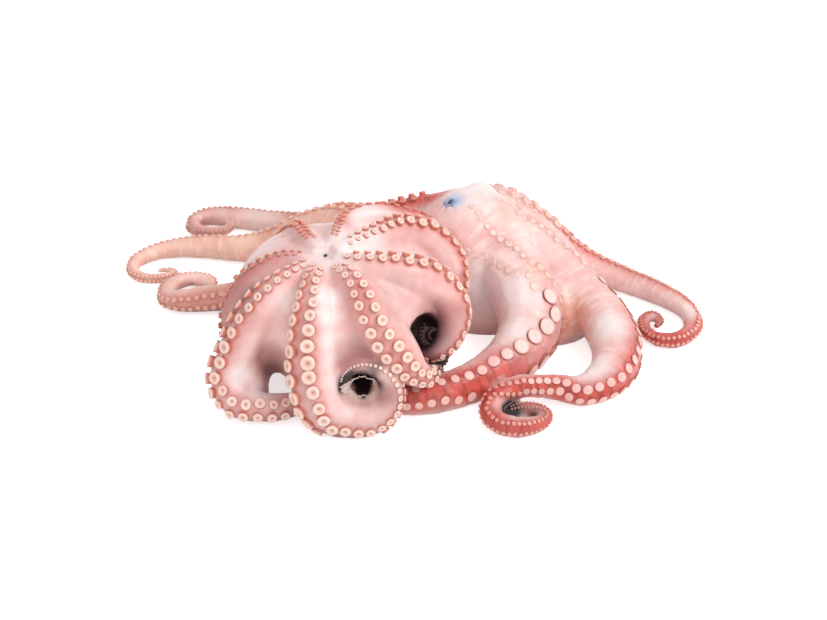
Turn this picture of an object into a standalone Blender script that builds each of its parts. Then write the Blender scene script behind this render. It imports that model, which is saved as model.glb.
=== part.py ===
"""A whole octopus, lying mouth side up on a flat surface.

The front crown is a dome whose eight arms run down from the mouth like the ribs of an
umbrella, with the web stretched between them. A lower crown leans on it from behind, and its
arms lie out along the surface to both sides. All of it is one body of flesh, so it is one solid.

Frame: metres, +Z up, the surface at Z = 0, +X to the right of someone who looks at the front
crown, and the origin under the middle of the whole. Lengths below are in millimetres.
"""
import math

import bmesh
import bpy
from mathutils import Vector

MM = 0.001
NAME = "octopus"

# ---- driving dimensions, mm -------------------------------------------------------------
MIDDLE = (-5.7, 30.9)        # what is taken off X and Y, so that the origin is under the middle
SETTLE = 1.8                 # how far the soft underside is pressed flat by its own weight

CROWN_MOUTH = (-66.0, -46.0)     # the front crown's mouth, in plan
CROWN_HEIGHT = 111.0             # web level at the mouth
CROWN_RIM = 100.0                # mean plan distance from the mouth to the rim
CROWN_LEAN = 27.0                # how much further the rim is on the side it leans to
CROWN_LEAN_SIDE = 70.0           # that side, degrees from +X towards +Y
CROWN_FULLNESS = 2.6             # 2 is a plain dome, more is fuller at the shoulder
CROWN_RIBS = (-150.0, -104.0, -52.0, -3.0, 38.0, 72.0, 122.0, 178.0)   # where the arms run down
WEB_SAG = 17.0                   # how deep the web hangs in between two arms at the rim
WEB_TUCK = 0.24                  # share of the rim by which the web draws in at the bottom

WEB_UNDERSIDE = 8.0              # how far the web's rounded underside hangs below its edge

SUCKER_LAYER = 2.6           # how much fuller the arms are than their flesh, for the suckers
FLESH_STEP = 2.6             # the grain at which the pieces are grown together
FLESH_SOFTENING = 5          # rounds of smoothing that fill the creases like skin does
KEEP_FACES = 0.066           # share of the fine faces that the finished solid keeps

SURFACE_SIZE = 800.0         # the block under the octopus that cuts its base flat
SURFACE_DEPTH = 60.0

SKIN_COLOUR = (0.83, 0.53, 0.47, 1.0)
SKIN_ROUGHNESS = 0.32


# ---- the run of each arm: x, y, z and half thickness, mm ----------------------------------
def curl(centre, start, sweep, reach, end_reach, thick, end_thick, rise, rings=12, ease=1.0):
    """The rolled-up end of an arm: a spiral from `reach` in to `end_reach` about `centre`.

    It starts at `start` degrees and turns through `sweep`; `rise` is the direction, in Y and Z,
    of the spiral's second axis, so (1, 0) lies flat and (0, 1) stands up.
    """
    points = []
    for ring in range(rings + 1):
        left = 1 - ring / rings
        angle = math.radians(start + sweep * (1 - left))
        distance = end_reach + (reach - end_reach) * left ** ease
        points.append((
            centre[0] + distance * math.cos(angle),
            centre[1] + distance * math.sin(angle) * rise[0],
            centre[2] + distance * math.sin(angle) * rise[1],
            end_thick + (thick - end_thick) * left,
        ))
    return points


CROWN_ARMS = {
    "front_left": [
        (-70, -50, 107, 8), (-94, -67, 104, 10), (-111, -74, 88, 14), (-122, -77, 70, 16),
        (-132, -80, 48, 16), (-141, -85, 28, 15.5), (-135, -98, 15, 14), (-115, -103, 12, 12.5),
        (-94, -99, 11, 11), (-78, -88, 10, 8),
    ],
    "front": [
        (-68, -52, 107, 9), (-73, -73, 106, 11), (-74, -85, 98, 14), (-75, -96, 82, 17),
        (-75, -102, 64, 19), (-75, -106, 48, 19.5),
    ] + curl((-39, -114, 38), 185, 340, 34, 11.5, 19, 2, rise=(0.12, 1.0), ease=1.5),
    "front_right": [
        (-62, -52, 107, 8), (-49, -70, 107, 11), (-39, -81, 99, 14), (-31, -89, 86, 17),
        (-21, -93, 71, 19), (-11, -96, 57, 18), (-1, -98, 44, 14), (9, -96, 36, 10), (16, -86, 36, 6),
    ],
    "right": [
        (-60, -46, 108, 8), (-40, -54, 109, 10), (-14, -53, 103, 13), (8, -49, 93, 15),
        (22, -49, 80, 15), (30, -55, 66, 14), (27, -66, 54, 12), (18, -74, 45, 9), (4, -73, 40, 5),
    ],
    "back_right": [
        (-60, -38, 109, 8), (-38, -19, 110, 9), (-13, 7, 103, 11), (9, 16, 91, 13),
        (23, 9, 80, 14), (30, -4, 70, 14), (28, -18, 54, 12), (12, -32, 36, 9), (-6, -36, 20, 8),
    ],
    "back": [
        (-62, -34, 109, 8), (-58, -10, 108, 9), (-50, 18, 104, 10), (-30, 34, 100, 11),
        (-5, 40, 90, 12), (15, 46, 80, 11),
    ],
    "back_left": [
        (-70, -36, 109, 8), (-80, -20, 108, 9), (-87, 0, 103, 10), (-93, 20, 90, 12),
        (-101, 35, 70, 14), (-113, 42, 46, 15), (-131, 42, 24, 14), (-153, 42, 14, 12.5),
        (-175, 43, 11.5, 11.5), (-192, 43, 10.5, 10.5), (-205, 49, 9.5, 9.5), (-209, 61, 9, 8.8),
        (-205, 75, 8.5, 8), (-193, 83, 8, 7.3), (-180, 84, 7.5, 6.5), (-172, 78, 7, 5.5),
        (-178, 74, 6, 4), (-187, 77, 5.5, 2.6),
    ],
    "left": [
        (-74, -48, 107, 8), (-96, -46, 108, 9), (-113, -50, 101, 11), (-127, -54, 89, 12),
        (-134, -58, 75, 13), (-136, -62, 58, 13), (-134, -58, 40, 12), (-124, -50, 22, 11),
    ],
}

LYING_ARMS = {
    "right_near": [
        (34, 66, 72, 20), (55, 52, 68, 25), (73, 34, 57, 28), (88, 10, 44, 29), (93, -16, 32, 27.5),
        (83, -43, 24, 23), (63, -64, 18, 19), (40, -79, 15, 17), (16, -90, 14, 16),
        (-8, -94, 12, 13), (-28, -91, 10, 9),
    ],
    "right_middle": [
        (46, 76, 72, 20), (75, 80, 64, 26), (105, 62, 48, 26), (134, 28, 32, 23), (154, -2, 24, 22),
        (161, -38, 21, 21.5), (153, -68, 18, 18.5), (132, -83, 13, 13.5), (112, -82, 15, 11.5),
        (94, -84, 18, 10.5), (76, -89, 20, 10), (63, -98, 17, 9.5), (58, -109, 13, 9.5),
        (63, -119, 10.5, 9.5), (74, -124, 9.5, 9.5), (87, -123, 9, 8.5), (97, -117, 8.5, 7.5),
        (100, -109, 9.5, 6.5), (93, -105, 12, 5.5), (83, -104, 13, 4.5), (74, -104, 11, 3),
    ],
    "right_far": [
        (46, 86, 76, 18), (72, 102, 63, 24), (104, 106, 40, 23), (128, 99, 25, 18),
        (150, 90, 17, 14), (178, 76, 12, 12), (204, 58, 11, 11), (221, 42, 10, 9.8),
        (229, 27, 9.5, 9), (229, 9, 9, 8.7), (221, -4, 8.5, 8.2), (209, -9, 8, 7.8),
        (197, -5, 7.5, 7), (190, 6, 7.5, 6.5), (191, 20, 8, 5.8), (199, 27, 8, 5),
        (204, 20, 7, 4.2), (199, 13, 6, 3),
    ],
    "left_far": [
        (22, 78, 84, 13), (-16, 84, 70, 14), (-50, 108, 44, 15), (-80, 142, 25, 14),
        (-107, 163, 15, 12.5), (-135, 173, 12, 11.5), (-162, 181, 11, 11), (-184, 186, 9.5, 9.5),
        (-197, 181, 8.5, 8.5), (-199, 170, 8, 7.8), (-192, 163, 7.5, 7.3), (-180, 162, 7, 6.5),
        (-169, 166, 7, 5.5), (-166, 173, 8, 4.5), (-174, 176, 9, 3.2),
    ],
    "left_middle": [
        (-10, 80, 60, 18), (-45, 98, 52, 20), (-80, 114, 40, 20), (-121, 120, 20, 16),
        (-152, 123, 14, 13), (-188, 129, 12, 11), (-219, 127, 10, 9), (-240, 115, 8, 7.5),
        (-244, 102, 7, 6.5), (-238, 91, 6, 6), (-226, 87, 6, 5.5), (-214, 90, 5.5, 5),
        (-207, 97, 5, 4), (-214, 103, 4.5, 3), (-223, 101, 4, 2),
    ],
    "back_near": [
        (50, 90, 66, 20), (68, 126, 44, 20), (80, 154, 24, 17), (72, 178, 13, 12), (48, 184, 10, 9.5),
    ] + curl((40, 166, 8), 100, 250, 18, 9, 8.5, 3, rise=(1.0, 0.0), rings=8),
    "back_far": [
        (30, 88, 60, 18), (10, 126, 36, 18), (-6, 156, 20, 15), (-28, 176, 12, 12),
        (-56, 182, 10, 9), (-74, 176, 8, 7), (-80, 165, 6, 5), (-71, 158, 5, 3.5),
    ],
}

# The web and the flesh under the lying arms: centre and half extents, mm.
REAR_MASSES = [
    ((46, 63, 38), (60, 54, 66)),
    ((54, 76, 60), (26, 26, 46)),
    ((78, 72, 14), (66, 54, 48)),
    ((60, 36, 8), (38, 29, 46)),
    ((-30, 62, 14), (66, 58, 62)),
    ((114, 32, 14), (38, 42, 38)),
    ((36, 104, 8), (66, 50, 46)),
]

# The web that fills the side of the front left arm, and the lining of the rolled-up front arm.
CROWN_MASSES = [
    ((-126, -82, 22), (14, 14, 27)),
    ((-37, -107, 42), (21, 10, 20)),
]

# The hollows that go in under the crown's edge: centre, half extents and turn about Z.
HOLLOWS = {
    "arch_under_front_left": ((-104, -72, 6), (9, 36, 24), 4),
    "daylight_under_left": ((-128, -54, 0), (22, 19, 22), 0),
    "hollow_under_right": ((9, -78, 55), (18, 32, 20), 22),
    "cup_of_front_curl": ((-36, -126, 44), (19, 17, 18), 0),
    "eye_of_front_curl": ((-39, -112, 38), (9.5, 28, 10.5), 0),
}


# ---- helpers ------------------------------------------------------------------------------
def clear_scene():
    for old in list(bpy.data.objects):
        bpy.data.objects.remove(old)


def collection_named(name):
    made = bpy.data.collections.new(name)
    bpy.context.scene.collection.children.link(made)
    return made


def skin_material():
    material = bpy.data.materials.new("skin")
    material.use_nodes = True
    shader = material.node_tree.nodes["Principled BSDF"]
    shader.inputs["Base Color"].default_value = SKIN_COLOUR
    shader.inputs["Roughness"].default_value = SKIN_ROUGHNESS
    shader.inputs["Metallic"].default_value = 0.0
    return material


def smooth_run(points, per_span=5):
    """A Catmull-Rom curve through the points, which carries the half thickness along."""
    ends = [points[0]] + list(points) + [points[-1]]
    run = []
    for before, start, end, after in zip(ends, ends[1:], ends[2:], ends[3:]):
        for step in range(per_span):
            t = step / per_span
            run.append(tuple(
                0.5 * (2 * b + (c - a) * t + (2 * a - 5 * b + 4 * c - d) * t * t
                       + (3 * b - a - 3 * c + d) * t ** 3)
                for a, b, c, d in zip(before, start, end, after)
            ))
    run.append(points[-1])
    return run


def place(x, y, z):
    return Vector(((x - MIDDLE[0]) * MM, (y - MIDDLE[1]) * MM, (z - SETTLE) * MM))


def arm_mesh(name, points):
    """One arm as a tapering tube with filled caps, turned into a closed mesh."""
    run = smooth_run(points)
    data = bpy.data.curves.new(name, "CURVE")
    data.dimensions = "3D"
    data.bevel_depth = MM
    data.bevel_resolution = 3
    data.use_fill_caps = True
    spline = data.splines.new("POLY")
    spline.points.add(len(run) - 1)
    for point, (x, y, z, thick) in zip(spline.points, run):
        point.co = (*place(x, y, z), 1.0)
        point.radius = thick + SUCKER_LAYER
    curve = bpy.data.objects.new(name, data)
    bpy.context.scene.collection.objects.link(curve)
    evaluated = curve.evaluated_get(bpy.context.evaluated_depsgraph_get())
    mesh = bpy.data.meshes.new_from_object(evaluated)
    bpy.data.objects.remove(curve)
    return mesh


def ball(centre, extents, turn=0.0):
    """A closed ball stretched to the half extents, turned about Z, as a fresh bmesh."""
    shape = bmesh.new()
    bmesh.ops.create_uvsphere(shape, u_segments=32, v_segments=20, radius=1.0)
    angle = math.radians(turn)
    for vertex in shape.verts:
        x = vertex.co.x * extents[0]
        y = vertex.co.y * extents[1]
        vertex.co = place(
            centre[0] + x * math.cos(angle) - y * math.sin(angle),
            centre[1] + x * math.sin(angle) + y * math.cos(angle),
            centre[2] + vertex.co.z * extents[2],
        )
    return shape


def between_ribs(around):
    """0 on an arm's line and 1 halfway between two arms, for an angle in radians."""
    angle = math.degrees(around)
    ribs = [CROWN_RIBS[-1] - 360] + list(CROWN_RIBS) + [CROWN_RIBS[0] + 360]
    for rib, following in zip(ribs, ribs[1:]):
        if rib <= angle <= following:
            return math.sin(math.pi * (angle - rib) / (following - rib))
    return 0.0


def crown_web():
    """The dome between the crown's arms: a sphere drawn out to the rim and flattened below."""
    shape = bmesh.new()
    bmesh.ops.create_uvsphere(shape, u_segments=96, v_segments=48, radius=1.0)
    for vertex in shape.verts:
        around = math.atan2(vertex.co.y, vertex.co.x)
        across = math.hypot(vertex.co.x, vertex.co.y) ** (2 / CROWN_FULLNESS)
        up = max(vertex.co.z, 0.0) ** (2 / CROWN_FULLNESS)
        fall = 1 - up
        rim = CROWN_RIM + CROWN_LEAN * math.cos(around - math.radians(CROWN_LEAN_SIDE))
        reach = rim * (1 - WEB_TUCK * fall * fall) - WEB_SAG * between_ribs(around) * fall
        vertex.co = place(
            CROWN_MOUTH[0] + reach * across * math.cos(around),
            CROWN_MOUTH[1] + reach * across * math.sin(around),
            CROWN_HEIGHT * up + WEB_UNDERSIDE * min(vertex.co.z, 0.0),
        )
    return shape


def mesh_of(name, shape):
    """A bmesh turned into a mesh."""
    data = bpy.data.meshes.new(name)
    shape.to_mesh(data)
    shape.free()
    return data


def add_cuts(piece, cutters):
    for cutter in cutters:
        cut = piece.modifiers.new("cut_" + cutter.name, "BOOLEAN")
        cut.operation = "DIFFERENCE"
        cut.solver = "EXACT"
        cut.object = cutter


def hollowed(name, shape, cutters):
    """A piece of the crown's web with the hollows cut out of it, as a closed mesh."""
    piece = bpy.data.objects.new(name, mesh_of(name, shape))
    bpy.context.scene.collection.objects.link(piece)
    add_cuts(piece, cutters)
    evaluated = piece.evaluated_get(bpy.context.evaluated_depsgraph_get())
    mesh = bpy.data.meshes.new_from_object(evaluated)
    bpy.data.objects.remove(piece)
    return mesh


def in_one_mesh(name, meshes):
    """All the pieces in one mesh, which the modifiers of `finish_flesh` then unite."""
    whole = bmesh.new()
    for mesh in meshes:
        whole.from_mesh(mesh)
    bmesh.ops.remove_doubles(whole, verts=whole.verts, dist=0.00001)
    bmesh.ops.recalc_face_normals(whole, faces=whole.faces)
    return bpy.data.objects.new(name, mesh_of(name, whole))


def finish_flesh(flesh, base):
    """Unites the pieces, rounds the creases, thins the faces and cuts the base flat."""
    unite = flesh.modifiers.new("grow_together", "REMESH")
    unite.mode = "VOXEL"
    unite.voxel_size = FLESH_STEP * MM
    unite.use_smooth_shade = True
    soften = flesh.modifiers.new("soften_creases", "SMOOTH")
    soften.factor = 0.5
    soften.iterations = FLESH_SOFTENING
    thin = flesh.modifiers.new("fewer_faces", "DECIMATE")
    thin.ratio = KEEP_FACES
    add_cuts(flesh, [base])


def cutter_object(name, shape, cutters):
    cutter = bpy.data.objects.new(name, mesh_of(name, shape))
    cutter.hide_render = True
    cutter.display_type = "WIRE"
    cutters.objects.link(cutter)
    return cutter


def surface_slab():
    """The flat surface underneath, as a block whose top is at Z = 0."""
    shape = bmesh.new()
    bmesh.ops.create_cube(shape, size=1.0)
    for vertex in shape.verts:
        across = vertex.co * SURFACE_SIZE * MM
        vertex.co = Vector((across.x, across.y, (vertex.co.z - 0.5) * SURFACE_DEPTH * MM))
    return shape


# ---- the octopus --------------------------------------------------------------------------
def main():
    clear_scene()
    body = collection_named(NAME)
    cutters = collection_named("cutters")

    hollows = [
        cutter_object(name, ball(centre, extents, turn), cutters)
        for name, (centre, extents, turn) in HOLLOWS.items()
    ]
    pieces = [arm_mesh(name, points) for name, points in {**CROWN_ARMS, **LYING_ARMS}.items()]
    for shape in [crown_web()] + [ball(centre, extents) for centre, extents in CROWN_MASSES]:
        pieces.append(hollowed("web", shape, hollows))
    for centre, extents in REAR_MASSES:
        pieces.append(mesh_of("mass", ball(centre, extents)))

    flesh = in_one_mesh(NAME, pieces)
    flesh.data.materials.append(skin_material())
    body.objects.link(flesh)
    finish_flesh(flesh, cutter_object("surface", surface_slab(), cutters))


main()
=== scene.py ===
import math
import random

import bpy
import numpy as np
from mathutils import Matrix, Vector
from mathutils.bvhtree import BVHTree
from mathutils.kdtree import KDTree


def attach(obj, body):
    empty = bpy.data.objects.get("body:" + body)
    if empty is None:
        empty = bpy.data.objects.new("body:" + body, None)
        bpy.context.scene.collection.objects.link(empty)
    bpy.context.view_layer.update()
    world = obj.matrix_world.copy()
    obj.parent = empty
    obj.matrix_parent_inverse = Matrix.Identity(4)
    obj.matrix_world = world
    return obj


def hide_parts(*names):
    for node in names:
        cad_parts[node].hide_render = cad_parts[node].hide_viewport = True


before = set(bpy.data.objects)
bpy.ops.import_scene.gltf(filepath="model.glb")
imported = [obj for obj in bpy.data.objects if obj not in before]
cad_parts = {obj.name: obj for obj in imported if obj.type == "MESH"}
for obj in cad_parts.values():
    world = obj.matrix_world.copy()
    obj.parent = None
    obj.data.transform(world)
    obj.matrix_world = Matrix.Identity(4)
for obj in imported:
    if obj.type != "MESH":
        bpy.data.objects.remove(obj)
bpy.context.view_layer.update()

MM = 0.001

# ---- sizes, mm ----------------------------------------------------------------------------
MIDDLE = np.array((-5.7, 30.9, 0.0))     # what the runs are shifted by, so that the origin is central
SETTLE = 1.8                             # how far the soft underside is pressed flat
SKIN_UNDER = 1.0                         # how far the skin lies inside the solid, under the suckers
SKIN_GRAIN = 1.35      # edge length of the skin's mesh
SKIN_FACES = 196000                      # triangles that a finished skin keeps

CROWN_MOUTH = (-66.0, -46.0)
CROWN_HEIGHT = 111.0
CROWN_RIM = 100.0
CROWN_LEAN = 27.0
CROWN_LEAN_SIDE = 70.0
CROWN_FULLNESS = 2.6
CROWN_RIBS = (-150.0, -104.0, -52.0, -3.0, 38.0, 72.0, 122.0, 178.0)
WEB_SAG = 17.0
WEB_TUCK = 0.24

# ---- the way the suckers face -------------------------------------------------------------
def toward(x, y, z):
    """The suckers face one way."""
    return lambda centres: np.tile(np.array((x, y, z), float), (len(centres), 1))


def away(point, lean=(0.0, 0.0, 0.0)):
    """The suckers face out from a point, as on the outside of a curl, and lean to one side."""
    def rule(centres):
        out = centres - np.array(point)
        out /= np.linalg.norm(out, axis=1)[:, None]
        return out + np.array(lean)
    return rule


def curl(centre, start, sweep, reach, end_reach, thick, end_thick, rise, rings=12, ease=1.0):
    """The rolled-up end of an arm: a spiral from `reach` in to `end_reach` about `centre`."""
    points = []
    for ring in range(rings + 1):
        left = 1 - ring / rings
        angle = math.radians(start + sweep * (1 - left))
        distance = end_reach + (reach - end_reach) * left ** ease
        points.append((
            centre[0] + distance * math.cos(angle),
            centre[1] + distance * math.sin(angle) * rise[0],
            centre[2] + distance * math.sin(angle) * rise[1],
            end_thick + (thick - end_thick) * left,
        ))
    return points


# ---- the arms -----------------------------------------------------------------------------
# run: x, y, z and half thickness. The other entries are tables from a place in the run, counted
# in its points, to a value there: the way the suckers face, a sucker's diameter in mm, the step
# from one sucker to the next in its row as a share of that, and how strong each tint is. The
# dusky tint is painted shade, on the parts of an arm that lie in shade.
CROWN_ARMS = {
    "front_left": dict(
        run=[
            (-70, -50, 107, 8), (-94, -67, 104, 10), (-111, -74, 88, 14), (-122, -77, 70, 16),
            (-132, -80, 48, 16), (-141, -85, 28, 15.5), (-135, -98, 15, 14), (-115, -103, 12, 12.5),
            (-94, -99, 11, 11), (-78, -88, 10, 8),
        ],
        faces={
            0: toward(-0.2, -0.1, 1), 1: toward(-0.45, -0.25, 0.85), 2: toward(-0.8, -0.3, 0.55),
            4: toward(-0.95, -0.3, 0.15), 5: toward(-0.85, -0.5, 0.0), 6: toward(-0.25, -0.95, 0.15),
            7: toward(0, -0.92, 0.38), 9: toward(0.1, -0.9, 0.4),
        },
        discs={0: 3, 1: 5.2, 2: 6.8, 3: 8.6, 4: 10, 5: 9.5, 6: 7.6, 7: 7.8, 9: 5.5},
        steps={0: 1.45, 4: 1.35, 9: 1.35},
        lift={0: 0.02, 2: 0.12, 5: 0.08, 7: 0.0},
        coral={0: 0.1, 2: 0.35, 4: 0.4, 6: 0.2, 9: 0.1},
        dusk={0: 0.0, 4: 0.0, 6: 0.05, 7: 0.15, 9: 0.4},
    ),
    "front": dict(
        run=[
            (-68, -52, 107, 9), (-73, -73, 106, 11), (-74, -85, 98, 14), (-75, -96, 82, 17),
            (-75, -102, 64, 19), (-75, -106, 48, 19.5),
        ] + curl((-39.5, -114, 38), 185, 340, 33, 13.5, 19, 2, rise=(0.12, 1.0), ease=1.05),
        faces={
            0: toward(-0.05, -0.3, 1), 1: toward(-0.2, -0.55, 0.85), 2: toward(-0.4, -0.7, 0.6),
            4: toward(-0.54, -0.8, 0.25), 6: away((-38, -114, 38), (0.3, -1.2, 0.6)),
            8: away((-38, -114, 38), (0, -0.75, 0.5)), 12: away((-38, -114, 38), (0, -0.35, 0.2)),
            18: away((-38, -114, 38), (0, 0.1, 0.1)),
        },
        discs={0: 3.4, 1: 5.4, 2: 7.4, 3: 9.2, 4: 11.2, 6: 10.8, 8: 8.8, 10: 7, 12: 4.6, 15: 2.5, 18: 1.7},
        kinds={0: "ring", 12.2: "pearl"},
        steps={0: 1.25, 3: 1.1, 5: 1.05, 8: 1.15, 10: 1.2, 18: 1.1},
        spread={0: 25, 6: 25, 8: 32, 12: 26, 18: 34},
        coral={0: 0.1, 2: 0.4, 4: 0.3, 6: 0.15, 9: 0.1, 18: 0.0},
        dusk={0: 0.0, 5: 0.0, 8: 0.35, 11: 0.4, 14: 0.3, 18: 0.2},
    ),
    "front_right": dict(
        run=[
            (-62, -52, 107, 8), (-49, -70, 107, 11), (-39, -81, 99, 14), (-31, -89, 86, 17),
            (-21, -93, 71, 19), (-11, -96, 57, 18), (-1, -98, 44, 14), (9, -96, 36, 10), (16, -86, 36, 6),
        ],
        faces={
            0: toward(0.1, -0.2, 1), 1: toward(0.15, -0.5, 0.85), 2: toward(0.05, -0.75, 0.65),
            4: toward(-0.1, -0.88, 0.45), 6: toward(0, -0.9, 0.45), 8: toward(0.2, -0.9, 0.4),
        },
        discs={0: 3.4, 1: 5.6, 2: 6.8, 3: 8.2, 4: 9, 5: 9, 6: 7.2, 8: 4},
        steps={0: 1.3, 8: 1.2},
        spread={0: 24, 2: 19, 4: 17, 6: 22, 8: 25},
        coral={0: 0.1, 2: 0.4, 4: 0.35, 6: 0.3, 8: 0.2},
        dusk={0: 0.0, 5: 0.0, 8: 0.5},
    ),
    "right": dict(
        run=[
            (-60, -46, 108, 8), (-40, -54, 109, 10), (-14, -53, 103, 13), (8, -49, 93, 15),
            (22, -49, 80, 15), (30, -55, 66, 14), (27, -66, 54, 12), (18, -74, 45, 9), (4, -73, 40, 5),
        ],
        faces={
            0: toward(0.1, 0, 1), 1: toward(0.1, 0.1, 1), 2: toward(0.25, 0.15, 0.95),
            3: toward(0.5, 0.3, 0.8), 4: toward(0.85, 0.25, 0.45), 5: toward(1, 0.1, 0.05),
            6: toward(0.85, -0.35, -0.3), 8: toward(0.4, -0.7, -0.5),
        },
        discs={0: 3.4, 1: 5.4, 2: 6.8, 3: 8, 4: 7.8, 5: 6.8, 8: 4},
        steps={0: 1.5, 3: 1.45, 8: 1.3},
        lift={0: 0.05, 2: 0.2, 4: 0.1, 8: 0.05},
        coral={0: 0.1, 2: 0.35, 3: 0.4, 5: 0.45, 8: 0.5},
        dusk={0: 0.0, 4: 0.0, 6: 0.35, 8: 0.8},
    ),
    "back_right": dict(
        run=[
            (-60, -38, 109, 8), (-38, -19, 110, 9), (-13, 7, 103, 11), (9, 16, 91, 13),
            (23, 9, 80, 14), (30, -4, 70, 14), (28, -18, 54, 12), (12, -32, 36, 9), (-6, -36, 20, 8),
        ],
        faces={
            0: toward(0.1, 0.0, 1), 1: toward(0.15, -0.1, 1), 2: toward(0.3, 0.15, 0.85),
            3: toward(0.65, 0.3, 0.65), 4: toward(0.9, 0.2, 0.35), 5: toward(1, 0.0, 0.1),
            7: toward(0.7, -0.5, -0.3), 8: toward(0.4, -0.5, -0.3),
        },
        discs={0: 3, 1: 5, 2: 6.8, 3: 7.6, 4: 7.2, 5: 6, 8: 4},
        steps={0: 1.6, 2: 1.45, 8: 1.3},
        lift={0: 0.05, 2: 0.25, 4: 0.15, 8: 0.05},
        coral={0: 0.1, 2: 0.35, 4: 0.6, 6: 0.7, 8: 0.7},
        dusk={0: 0.0, 4: 0.0, 6: 0.3, 8: 0.8},
    ),
    "back": dict(
        run=[
            (-62, -34, 109, 8), (-58, -10, 108, 9), (-50, 18, 104, 10), (-30, 34, 100, 11),
            (-5, 40, 90, 12), (15, 46, 80, 11),
        ],
        faces={0: toward(0, 0.2, 1), 2: toward(-0.2, 0.6, 0.8), 5: toward(0.2, 0.8, 0.6)},
        discs={0: 2.6, 1: 3.6, 2: 5, 5: 5.4},
        steps={0: 1.6, 5: 1.5},
        spread={0: 16, 5: 16},
        coral={0: 0.1, 1: 0.5, 2: 0.85, 5: 0.9},
        kinds={0: "coral"},
    ),
    "back_left": dict(
        run=[
            (-70, -36, 109, 8), (-80, -20, 108, 9), (-87, 0, 103, 10), (-93, 20, 90, 12),
            (-101, 35, 70, 14), (-113, 43, 46, 15), (-131, 45, 24, 14.5), (-153, 46, 14.5, 13),
            (-175, 46, 12.5, 12.5), (-192, 45, 11, 11), (-205, 49, 9.5, 9.5), (-209, 61, 9, 8.8),
            (-205, 75, 8.5, 8), (-193, 83, 8, 7.3), (-180, 84, 7.5, 6.5), (-172, 78, 7, 5.5),
            (-178, 74, 6, 4), (-187, 77, 5.5, 2.6),
        ],
        faces={
            0: toward(-0.2, 0.1, 1), 2: toward(-0.3, 0.4, 0.85), 4: toward(-0.6, 0.5, 0.6),
            6: toward(-0.2, -0.6, 0.7), 7: toward(0, -0.85, 0.35), 9: toward(-0.1, -0.92, 0.2),
            10: away((-190, 64, 8), (0, -0.6, 0.2)), 12: away((-190, 64, 6), (0, 0, 0.0)),
            15: away((-188, 74, 6), (0, 0, -0.1)), 17: away((-182, 78, 2), (0, 0, 0.2)),
        },
        discs={0: 2.8, 2: 5.0, 4: 5.6, 6: 6, 8: 5.2, 10: 4.4, 13: 3.4, 17: 2},
        steps={0: 1.5, 7: 1.3, 17: 1.2},
        spread={0: 18, 4: 20, 7: 25, 17: 25},
        coral={0: 0.1, 2: 0.6, 4: 0.5, 7: 0.45, 10: 0.35, 17: 0.35},
        kinds={0: "coral", 6: "small"},
        dusk={0: 0.0, 7: 0.15, 17: 0.2},
        tan={0: 0.0, 5: 0.3, 7: 0.7, 10: 0.4, 17: 0.4},
    ),
    "left": dict(
        run=[
            (-74, -48, 107, 8), (-96, -46, 108, 9), (-113, -50, 101, 11), (-127, -54, 89, 12),
            (-134, -58, 75, 13), (-136, -62, 58, 13), (-134, -58, 40, 12), (-124, -50, 22, 11),
        ],
        faces={
            0: toward(-0.3, 0, 1), 2: toward(-0.6, 0.05, 0.8), 3: toward(-0.85, 0.1, 0.5),
            4: toward(-1, 0.1, 0.2), 6: toward(-0.95, 0.1, -0.1), 7: toward(-0.8, 0.1, -0.4),
        },
        discs={0: 2.8, 1: 3.6, 2: 4.6, 4: 5.4, 7: 5},
        steps={0: 1.6, 4: 1.5, 7: 1.4},
        spread={0: 16, 7: 18},
        coral={0: 0.15, 2: 0.6, 5: 0.75, 7: 0.7},
        dusk={0: 0.1, 2: 0.45, 5: 0.6, 7: 0.7},
        kinds={0: "coral"},
    ),
}

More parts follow.
